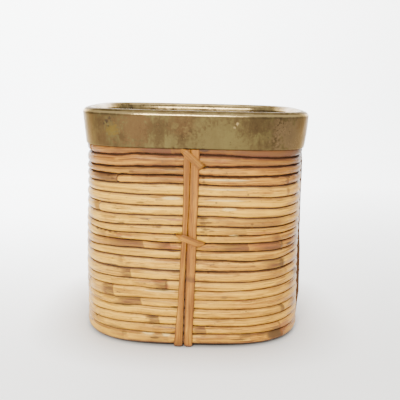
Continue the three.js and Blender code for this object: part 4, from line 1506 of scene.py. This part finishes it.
def outlinePoint(angle, halfWidth, squareness, out, height):
    # a point on the rounded-square outline at a polar angle, moved out along its normal
    cosine, sine = math.cos(angle), math.sin(angle)
    radius = halfWidth * (abs(cosine) ** squareness + abs(sine) ** squareness) ** (-1 / squareness)
    normal = Vector((
        math.copysign(abs(cosine) ** (squareness - 1), cosine),
        math.copysign(abs(sine) ** (squareness - 1), sine),
    )).normalized()
    return (radius * cosine + normal.x * out, radius * sine + normal.y * out, height)


def makeCollar():
    shape = collarShape
    path = collarPath()
    sheetBack = []
    for k, (out, height, rubbed) in enumerate(path):
        before, after = path[max(k - 1, 0)], path[min(k + 1, len(path) - 1)]
        along = Vector((after[0] - before[0], after[1] - before[1])).normalized()
        sheetBack.append((out - along.y * shape["sheet"], height + along.x * shape["sheet"], rubbed))
    section = path + sheetBack[::-1]
    halfWidth = wallHalfWidth(collarLow.z)
    squareness = wall["topSquareness"]
    shoulder = collarHigh.z - shape["lipRise"]
    rings, rubs = [], []
    for step in range(shape["stepsRound"]):
        angle = 2 * math.pi * step / shape["stepsRound"]
        spot = Vector((math.cos(angle), math.sin(angle), 0))
        atCorner = abs(math.sin(2 * angle)) ** 3
        ring = []
        for out, height, rubbed in section:
            inner = out < -wall["depth"] * 0.5
            onSkirt = min(max((shoulder - height) / shape["skirtReach"], 0), 1)
            onFlare = min(max((height - collarLow.z) / (shoulder - collarLow.z), 0), 1)
            depth = shape["innerDent"] if inner else shape["dent"]
            dent = noise.noise(spot * 4.2 + Vector((0, 0, height * 30)))
            fine = noise.noise(spot * 13 + Vector((5, 3, height * 110))) * 0.35
            shift = (dent + fine - 0.35) * depth * (0.35 + 0.65 * onSkirt)
            hem = noise.noise(spot * 6 + Vector((9, 2, 4)))
            nearHem = 0 if inner else max(0, 1 - (height - collarLow.z) / shape["hemReach"])
            lift = (0.5 + hem * 0.5) * shape["hemWander"] * nearHem
            bulge = shape["bulge"] * 4 * onFlare * (1 - onFlare) * max(0, spot.x) ** 2
            ring.append(outlinePoint(angle, halfWidth, squareness, out + shift + bulge, height + lift))
            rubs.append(rubbed * (1 - shape["dullCorner"] * atCorner) if inner else rubbed)
        rings.append(ring)
    fields = {"rubbed": ("FLOAT", rubs)}
    piece = sweepMesh("brass_collar_sheet", rings, True, agedBrass, fields)
    settle(piece, "aged_brass", "brass_collar")


makeCollar()
print("collar made")


# The hoop in the collar and the base board keep their own shapes

for node in ("rim_core", "base_board"):
    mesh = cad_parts[node].data
    mesh.materials.clear()
    mesh.materials.append(plainWood)

print("scene finished")
